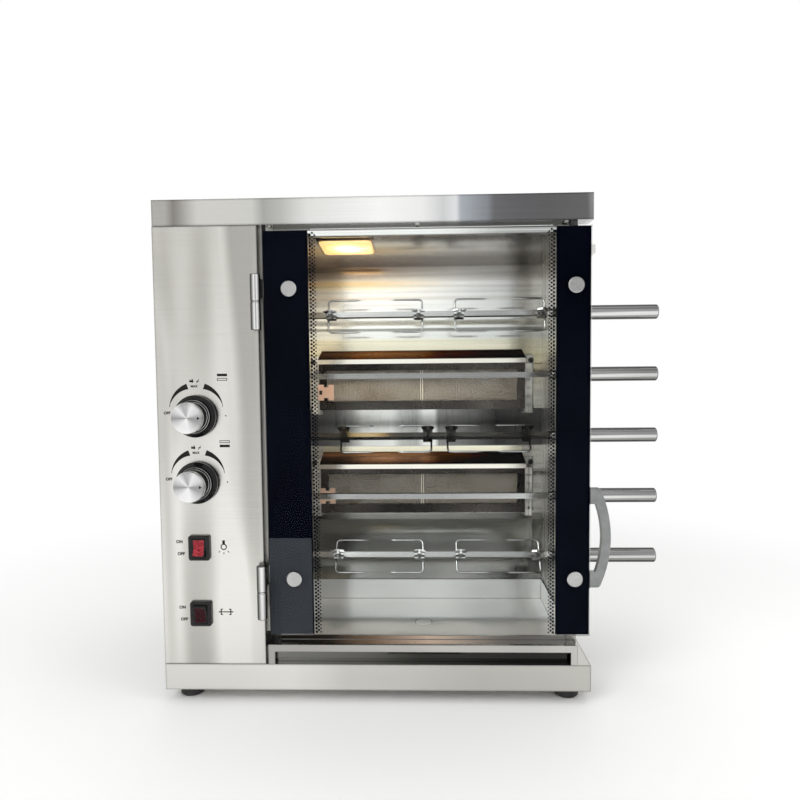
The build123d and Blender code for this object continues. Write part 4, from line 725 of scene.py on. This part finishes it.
def makeDoorPrint(look):
    bm = bmesh.new()
    filmY = glassHigh.y - look["inGlass"]
    glassHeight = glassHigh.z - glassLow.z
    middleZ = (glassHigh.z + glassLow.z) / 2
    rows = int((glassHeight - 2 * look["margin"]) / look["pitch"])
    bands = [(glassLow.x + look["inset"], glassLow.x + look["leftSolid"], 1),
             (glassHigh.x - look["rightSolid"], glassHigh.x - look["inset"], -1)]
    for start, end, side in bands:
        bar(bm, facing((start + end) / 2, filmY, middleZ, (end - start, glassHeight - look["shorter"])))
        edge = end if side > 0 else start
        for column, (offset, radius) in enumerate(zip(look["columns"], look["radii"])):
            for row in range(rows):
                z = glassLow.z + look["margin"] + look["pitch"] * (row + 0.5 * (column % 2) + 0.25)
                disc(bm, facing(edge + side * offset, filmY, z, (2 * radius, 2 * radius)), 10)
    thicken(bm, look["film"])
    finishPiece("door_print", bm, "door", [finishes["glassPrint"]], 80)


makeDoorPrint(doorPrint)
print("door print made")

# Print on the control panel

panelInk = 0.0001
knobPrint = {
    "arcRadius": 0.044, "arcRise": 0.011, "arcFrom": 5, "arcTo": 70, "arcWidth": 0.0094, "arcTip": 0.1,
    "steps": 20, "words": [("MAX", 0.0052, -0.0025, 0.048), ("OFF", 0.0062, -0.048, 0.005)], "iconUp": 0.0562,
    "flameAcross": -0.0075, "flames": [(-0.0012, 0.0034), (0.0022, 0.0044)], "flameTip": 0.55,
    "sparkAcross": 0.0035, "sparkSize": (0.0042, 0.0011),
    "sparks": [(0.0008, 0.0012, 60), (-0.0008, -0.001, 60), (0, 0.0, 5)], "dot": (0.048, 0.0),
    "dotSize": 0.0022,
}


def panelPlace(x, z, scale=(1, 1), turn=0.0):
    return facing(x, ovenFront, z, scale, turn)


def finishPrint(name, bm):
    thicken(bm, panelInk)
    finishPiece(name, bm, "oven", [finishes["printBlack"]], 80)


def taperedArc(bm, centre, look, side):
    inner, outer = look["arcRadius"] - look["arcWidth"], look["arcRadius"]
    start = radians(look["arcFrom"])
    sweep = radians(look["arcTo"] - look["arcFrom"])
    middle = Vector((centre.x, ovenFront, centre.z + look["arcRise"]))
    ends = [bm.verts.new(middle + Vector((side * r * cos(start), 0, r * sin(start)))) for r in (inner, outer)]
    edge = bm.edges.new(ends)
    before = set(bm.verts) - set(ends)
    bmesh.ops.spin(bm, geom=ends + [edge], cent=middle, axis=(0, -side, 0), angle=sweep, steps=look["steps"])
    for vert in set(bm.verts) - before:
        arm = vert.co - middle
        if arm.length < outer - look["arcWidth"] / 2:
            share = (abs(Vector((side, 0, 0)).angle(arm)) - start) / sweep
            vert.co = middle + arm.normalized() * (outer - look["arcWidth"] * max(share, look["arcTip"]))


def makeKnobPrint(which, look):
    centre = knobCentres[which]
    bm = bmesh.new()
    for side in (-1, 1):
        taperedArc(bm, centre, look, side)
    z = centre.z + look["iconUp"]
    for across, size in look["flames"]:
        flame = disc(bm, panelPlace(centre.x + look["flameAcross"] + across, z, (size, size)), 10)
        max(flame, key=lambda v: v.co.z).co.z += size * look["flameTip"]
    for across, up, turn in look["sparks"]:
        bar(bm, panelPlace(centre.x + look["sparkAcross"] + across, z + up, look["sparkSize"], turn))
    across, up = look["dot"]
    disc(bm, panelPlace(centre.x + across, centre.z + up, (look["dotSize"], look["dotSize"])), 12)
    for word, size, across, up in look["words"]:
        wordInto(bm, word, size, panelPlace(centre.x + across, centre.z + up))
    finishPrint(which + "_knob_print", bm)


burnerIcon = {
    "width": 0.0165, "bar": 0.0042, "gap": 0.0028, "line": 0.001, "across": {"upper": 0.0435, "lower": 0.045},
    "up": 0.0625, "lit": {"upper": 1, "lower": -1},
}


def makeBurnerIcon(which, look):
    # Two bars for the two burners; the one that this knob lights is filled
    centre = knobCentres[which]
    bm = bmesh.new()
    for place in (-1, 1):
        z = centre.z + look["up"] + place * (look["bar"] + look["gap"]) / 2
        verts = bar(bm, panelPlace(centre.x + look["across"][which], z, (look["width"], look["bar"])))
        if place != look["lit"][which]:
            hollow(bm, verts, look["line"])
    finishPrint(which + "_burner_icon", bm)


switchPrint = {
    "wordSize": 0.0068, "words": [("ON", -0.0335, 0.0095), ("OFF", -0.031, -0.0105)],
    "shift": {"upper": 0.0, "lower": 0.002},
}
lampSign = {
    "across": 0.0395, "ring": 0.0104, "ringUp": 0.001, "ringLine": 0.0017, "neck": (0.0042, 0.0062),
    "neckUp": 0.0088, "ray": (0.0034, 0.0012),
    "rays": [(-0.0074, -0.007, 45), (0, -0.0098, 90), (0.0074, -0.007, -45)],
}
spitSign = {
    "across": 0.0405, "up": 0.002, "rod": (0.0236, 0.0016), "post": (0.0018, 0.01), "postOut": 0.008,
    "foot": (0.003, 0.0016), "footOut": 0.0066, "footUp": 0.0044, "tip": 0.0034, "tipOut": 0.0108,
}


def drawLampSign(bm, x, z, look):
    ring = disc(bm, panelPlace(x, z + look["ringUp"], (look["ring"], look["ring"])), 24)
    hollow(bm, ring, look["ringLine"])
    bar(bm, panelPlace(x, z + look["neckUp"], look["neck"]))
    for across, up, turn in look["rays"]:
        bar(bm, panelPlace(x + across, z + up, look["ray"], turn))


def drawSpitSign(bm, x, z, look):
    bar(bm, panelPlace(x, z, look["rod"]))
    for side in (-1, 1):
        bar(bm, panelPlace(x + side * look["postOut"], z, look["post"]))
        for end in (-1, 1):
            bar(bm, panelPlace(x + side * look["footOut"], z + end * look["footUp"], look["foot"]))
        disc(bm, panelPlace(x + side * look["tipOut"], z, (look["tip"], look["tip"])), 3)


def makeSwitchPrint(which, look):
    centre = switchCentres[which]
    bm = bmesh.new()
    for word, across, up in look["words"]:
        place = panelPlace(centre.x + across + look["shift"][which], centre.z + up)
        wordInto(bm, word, look["wordSize"], place)
    if which == "upper":
        drawLampSign(bm, centre.x + lampSign["across"], centre.z, lampSign)
    else:
        drawSpitSign(bm, centre.x + spitSign["across"], centre.z + spitSign["up"], spitSign)
    finishPrint(which + "_switch_print", bm)


for which in ("upper", "lower"):
    makeKnobPrint(which, knobPrint)
    makeBurnerIcon(which, burnerIcon)
    makeSwitchPrint(which, switchPrint)
print("panel print made")

# Knobs

knobCap = {
    "radius": 0.02475, "root": 0.037, "rootEdge": 0.0006, "face": 0.0463, "edge": 0.0022, "dish": 0.0009,
    "dishRadius": 0.0185, "dishRim": 0.0001,
}


def makeKnobCap(which, look):
    centre = knobCentres[which]
    r, root, face, edge = look["radius"], look["root"], look["face"], look["edge"]
    dish, dishRadius = look["dish"], look["dishRadius"]
    section = [(0, root), (r - look["rootEdge"], root), (r, root + look["rootEdge"]), (r, face - edge),
               (r - 0.25 * edge, face - 0.45 * edge), (r - 0.65 * edge, face - 0.12 * edge), (r - edge, face),
               (dishRadius, face - look["dishRim"]), (0.7 * dishRadius, face - 0.5 * dish),
               (0.35 * dishRadius, face - 0.88 * dish), (0, face - dish)]
    chrome = spunChrome(which + "SpunChrome", centre, knobFaceLook)
    bm = turned(section, centre)
    piece = finishPiece(which + "_knob_face", bm, which + "_knob", [chrome], 40)
    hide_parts(which + "_knob_cap")


knobPointer = {"out": 0.0182, "size": 0.0056, "sunk": 0.0002, "thick": 0.0004}


def makeKnobPointer(which, look):
    centre = knobCentres[which]
    bm = bmesh.new()
    y = centre.y - knobCap["face"] + look["sunk"]
    disc(bm, facing(centre.x + look["out"], y, centre.z, (look["size"], look["size"]), -90), 3)
    thicken(bm, look["thick"])
    finishPiece(which + "_knob_pointer", bm, which + "_knob", [finishes["printBlack"]], 80)


knobRings = {"wide": (0.0262, 0.0168), "narrow": (0.0234, 0.0182), "thick": 0.0008}


def makeKnobRings(which, look):
    # Two bright wires let into the skirt
    centre = knobCentres[which]
    half = look["thick"]
    parts = bmesh.new()
    for radius, out in (look["wide"], look["narrow"]):
        corners = [a * pi / 4 for a in range(8)]
        ring = turned([(radius + half * cos(a), out + half * sin(a)) for a in corners], centre)
        mesh = bpy.data.meshes.new("ring")
        ring.to_mesh(mesh)
        ring.free()
        parts.from_mesh(mesh)
        bpy.data.meshes.remove(mesh)
    finishPiece(which + "_knob_rings", parts, which + "_knob", [finishes["forkChrome"]], 60)


for which in ("upper", "lower"):
    makeKnobCap(which, knobCap)
    makeKnobPointer(which, knobPointer)
    makeKnobRings(which, knobRings)
print("knobs dressed")

# Oven lamp: a ribbed glass cover that stands out from the ceiling
lampCover = {"grow": 0.0052, "drop": 0.005, "sunk": 0.0005, "corner": 0.01, "edge": 0.0018, "sheet": 0.003}


def makeLampCover(look):
    low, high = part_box("lamp_glass")
    middle = (low + high) / 2
    lean = Matrix.Rotation(-((high.z - low.z - look["sheet"]) / (high.y - low.y)), 4, "X")
    size = (high.x - low.x + 2 * look["grow"], high.y - low.y + 2 * look["grow"], look["drop"])
    bm = bmesh.new()
    block(bm, Matrix(), size)
    upright = [e for e in bm.edges if abs(e.verts[0].co.z - e.verts[1].co.z) > look["drop"] / 2]
    softened(bm, upright, look["corner"], 5)
    softened(bm, [e for e in bm.edges if all(v.co.z < 0 for v in e.verts)], look["edge"], 3)
    below = Matrix.Translation(middle + Vector((0, 0, look["sunk"] - look["drop"] / 2)))
    bmesh.ops.transform(bm, matrix=below @ lean, verts=bm.verts)
    piece = finishPiece("lamp_cover", bm, "oven", [finishes["litLampGlass"]], 40)
    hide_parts("lamp_glass")


makeLampCover(lampCover)
print("lamp cover made")

# Rockers

rockerLook = {"border": 0.0022, "sink": 0.0004}


def makeRocker(which, look):
    bm = bmesh.new()
    bm.from_mesh(nodes[which + "_rocker"].data)
    bmesh.ops.remove_doubles(bm, verts=bm.verts, dist=2e-6)
    bmesh.ops.dissolve_limit(bm, angle_limit=radians(2), verts=bm.verts, edges=bm.edges)
    bm.normal_update()
    lit = [f for f in bm.faces if f.normal.y < -0.85 and f.calc_area() > 1e-4]
    bmesh.ops.inset_region(bm, faces=lit, thickness=look["border"], depth=-look["sink"])
    for face in lit:
        face.material_index = 1
    materials = [finishes["bezelBlack"], rockerLens(which + "RockerLens", lensLooks[which])]
    piece = finishPiece(which + "_rocker_lens", bm, which + "_switch", materials, 30)
    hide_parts(which + "_rocker")


for which in ("upper", "lower"):
    makeRocker(which, rockerLook)
print("rockers dressed")

# Bolts on the burner brackets

bracketBolt = {
    "flats": 0.008, "head": 0.003, "washer": 0.011, "washerThick": 0.001, "inFromEnd": 0.0045,
    "plateThick": 0.002, "plateHalf": 0.057, "plateMiddle": 0.029, "inFromEdge": 0.011,
}


def addBoltDisc(bm, place, sides, radius, thick):
    # A washer, or a hexagon head, that stands forward of its place with a softened front edge
    front = place.y - thick
    middle = Matrix.Translation((place.x, place.y - thick / 2, place.z))
    made = cylinder(bm, sides, radius, thick, middle @ Matrix.Rotation(radians(90), 4, "X"))
    edges = {e for v in made for e in v.link_edges if all(abs(w.co.y - front) < 1e-6 for w in e.verts)}
    softened(bm, list(edges), thick * 0.25, 2)


def makeBracketBolts(look):
    bm = bmesh.new()
    back = bracketHigh.y - look["plateThick"]
    reach = look["plateHalf"] - look["inFromEdge"]
    for middle in (plaqueLow.z + look["plateMiddle"], plaqueHigh.z - look["plateMiddle"]):
        for x in (bracketLow.x + look["inFromEnd"], bracketHigh.x - look["inFromEnd"]):
            for z in (middle - reach, middle + reach):
                addBoltDisc(bm, Vector((x, back, z)), 24, look["washer"] / 2, look["washerThick"])
                head = Vector((x, back - look["washerThick"], z))
                addBoltDisc(bm, head, 6, look["flats"] / cos(pi / 6) / 2, look["head"])
    finishPiece("bracket_bolts", bm, "oven", [finishes["boltBlack"]], 30)


makeBracketBolts(bracketBolt)
print("bracket bolts made")

# Strainer in the grease pan's drain

strainer = {
    "rings": [(0.0035, 0.0062), (0.007, 0.0098), (0.0106, 0.0144)], "hub": 0.0028, "spoke": 0.002,
    "thick": 0.0008, "above": 0.0002, "behindFront": 0.12,
}


def makeStrainer(look):
    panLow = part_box("grease_pan")[0]
    half = look["thick"] / 2
    across = (plaqueLow.x + plaqueHigh.x) / 2
    centre = Vector((across, ovenFront + look["behindFront"], panLow.z + look["above"] + half))
    bm = bmesh.new()
    cylinder(bm, 24, look["hub"], look["thick"], Matrix.Translation(centre))
    for inner, outer in look["rings"]:
        corners = [(inner, -half), (outer, -half), (outer, half), (inner, half)]
        verts = [bm.verts.new((centre.x + r, centre.y, centre.z + h)) for r, h in corners]
        spinLoop(bm, verts, centre, (0, 0, 1), 48)
    size = (2 * look["rings"][-1][0] + look["spoke"], look["spoke"], look["thick"] * 0.7)
    for turn in (0, 60, 120):
        place = Matrix.Translation(centre) @ Matrix.Rotation(radians(turn), 4, "Z")
        block(bm, place, size)
    finishPiece("drain_strainer", bm, "oven", [finishes["strainerSteel"]], 30)


makeStrainer(strainer)
print("strainer made")

# Pads under the handle's feet

handlePad = {"thick": 0.0022, "grow": 0.0004, "tab": 0.026, "clear": 0.0001, "edge": 0.0005}


def makeHandlePads(look):
    low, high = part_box("door_handle")
    bm = bmesh.new()
    x, y = low.x + look["thick"] / 2 + look["clear"], (low.y + high.y) / 2
    size = (look["thick"], high.y - low.y + 2 * look["grow"], look["tab"] + 2 * look["grow"])
    for z in (low.z + look["tab"] / 2, high.z - look["tab"] / 2):
        block(bm, Matrix.Translation((x, y, z)), size)
    softened(bm, bm.edges[:], look["edge"], 2)
    finishPiece("handle_pads", bm, "door", [finishes["rubberBlack"]], 30)


makeHandlePads(handlePad)
print("handle pads made")

# Studio

studio = {
    "floorColour": (0.96, 0.96, 0.955), "floorSize": 8.0, "nearWhite": 0.62, "farWhite": 1.5, "fill": 0.62,
    "above": (-0.05, 0.12), "behind": (-0.45, -0.15),
    "room": [(0, 1), (0.26, 0.95), (0.32, (0.66, 0.65, 0.63)), (0.36, (0.95, 0.95, 0.94)), (0.52, 1),
             (0.56, (0.42, 0.42, 0.43)), (0.68, (0.34, 0.34, 0.35)), (0.74, 0.85), (1, 1)],
}


def mixShaders(tree, factor, first, second):
    return addNode(tree, "MixShader", {"Fac": factor, 1: first, 2: second}).outputs["Shader"]


def makeFloor(look):
    bm = bmesh.new()
    bmesh.ops.create_circle(bm, cap_ends=True, radius=look["floorSize"], segments=96)
    dull = {"Base Color": (*look["floorColour"], 1), "Roughness": 0.6, "Specular IOR Level": 0.2}
    material, tree, shader = startMaterial("paleFloor", dull)
    white = addNode(tree, "Emission", {"Color": (1, 1, 1, 1), "Strength": 1.0})
    away = addNode(tree, "VectorMath", {0: objectPattern(tree)}, operation="LENGTH")
    limits = {"From Min": look["nearWhite"], "From Max": look["farWhite"], "Value": away.outputs["Value"]}
    fade = addNode(tree, "MapRange", limits, interpolation_type="SMOOTHSTEP")
    mix = mixShaders(tree, fade.outputs["Result"], shader.outputs["BSDF"], white.outputs["Emission"])
    tree.links.new(mix, tree.nodes["Material Output"].inputs["Surface"])
    floor = meshObject("floor", bm, [material])


def makeWorld(look):
    # Pale all round, with two darker areas high behind the camera that only metal and glass pick up
    world = bpy.data.worlds.new("studioWorld")
    scene.world = world
    world.use_nodes = True
    tree = world.node_tree
    fill = tree.nodes["Background"]
    fill.inputs["Color"].default_value = (1, 1, 1, 1)
    fill.inputs["Strength"].default_value = look["fill"]
    coords = addNode(tree, "TexCoord").outputs["Generated"]
    split = addNode(tree, "SeparateXYZ", {"Vector": coords}).outputs
    room = ramp(spread(split["X"], 0, 1, -1, 1), look["room"])
    high = spread(split["Z"], 0, 1, *look["above"])
    behind = spread(split["Y"], 1, 0, *look["behind"])
    seen = blendColours(tree, maths(tree, "MULTIPLY", high, behind), 1, room)
    mirrored = addNode(tree, "Background", {"Color": seen, "Strength": 1.0})
    white = addNode(tree, "Background", {"Color": (1, 1, 1, 1), "Strength": 1.0})
    path = addNode(tree, "LightPath").outputs
    shiny = maths(tree, "MAXIMUM", path["Is Glossy Ray"], path["Is Transmission Ray"])
    first = mixShaders(tree, shiny, fill.outputs["Background"], mirrored.outputs["Background"])
    second = mixShaders(tree, path["Is Camera Ray"], first, white.outputs["Background"])
    tree.links.new(second, tree.nodes["World Output"].inputs["Surface"])


lampAim = Vector((0, 0, 0.4))
studioLamps = {
    "keyLamp": {"at": (-1.3, -1.9, 1.9), "size": (1.3, 1.3), "watts": 24},
    "sideLamp": {"at": (1.9, -1.2, 1.2), "size": (1, 1.6), "watts": 10},
    "topLamp": {"at": (0.2, 0.1, 2.4), "size": (1.8, 1.4), "watts": 18},
    "bulbLamp": {
        "at": (ovenLeft + 0.3035, ovenFront + 0.084, 0.748), "size": (0.08, 0.06), "watts": 2.6,
        "tint": (1, 0.9, 0.76), "unseen": True},
}


def makeLamps(looks):
    for name, look in looks.items():
        data = bpy.data.lights.new(name, "AREA")
        data.shape = "RECTANGLE"
        data.size, data.size_y = look["size"]
        data.energy = look["watts"]
        data.color = look.get("tint", (1, 1, 1))
        lamp = bpy.data.objects.new(name, data)
        scene.collection.objects.link(lamp)
        lamp.location = look["at"]
        lamp.visible_glossy = False
        lamp.visible_camera = lamp.visible_transmission = not look.get("unseen", False)
        lamp.rotation_euler = (lampAim - lamp.location).to_track_quat("-Z", "Y").to_euler()


photoCamera = {
    "lens": 29.277, "at": (ovenLeft + 0.4267, ovenFront - 1.0388, 0.5609),
    "right": (0.99947, 0.03099, -0.01018), "up": (0.00835, 0.05856, 0.99825),
    "back": (0.03154, -0.9978, 0.05827),
}


def makeCamera(look):
    data = bpy.data.cameras.new("photoCamera")
    data.lens = look["lens"]
    data.sensor_width = 36
    data.sensor_fit = "HORIZONTAL"
    data.clip_start = 0.02
    camera = bpy.data.objects.new("photoCamera", data)
    scene.collection.objects.link(camera)
    axes = Matrix((look["right"], look["up"], look["back"])).transposed().to_4x4()
    camera.matrix_world = Matrix.Translation(look["at"]) @ axes
    scene.camera = camera


makeFloor(studio)
makeWorld(studio)
makeLamps(studioLamps)
makeCamera(photoCamera)
print("studio ready")
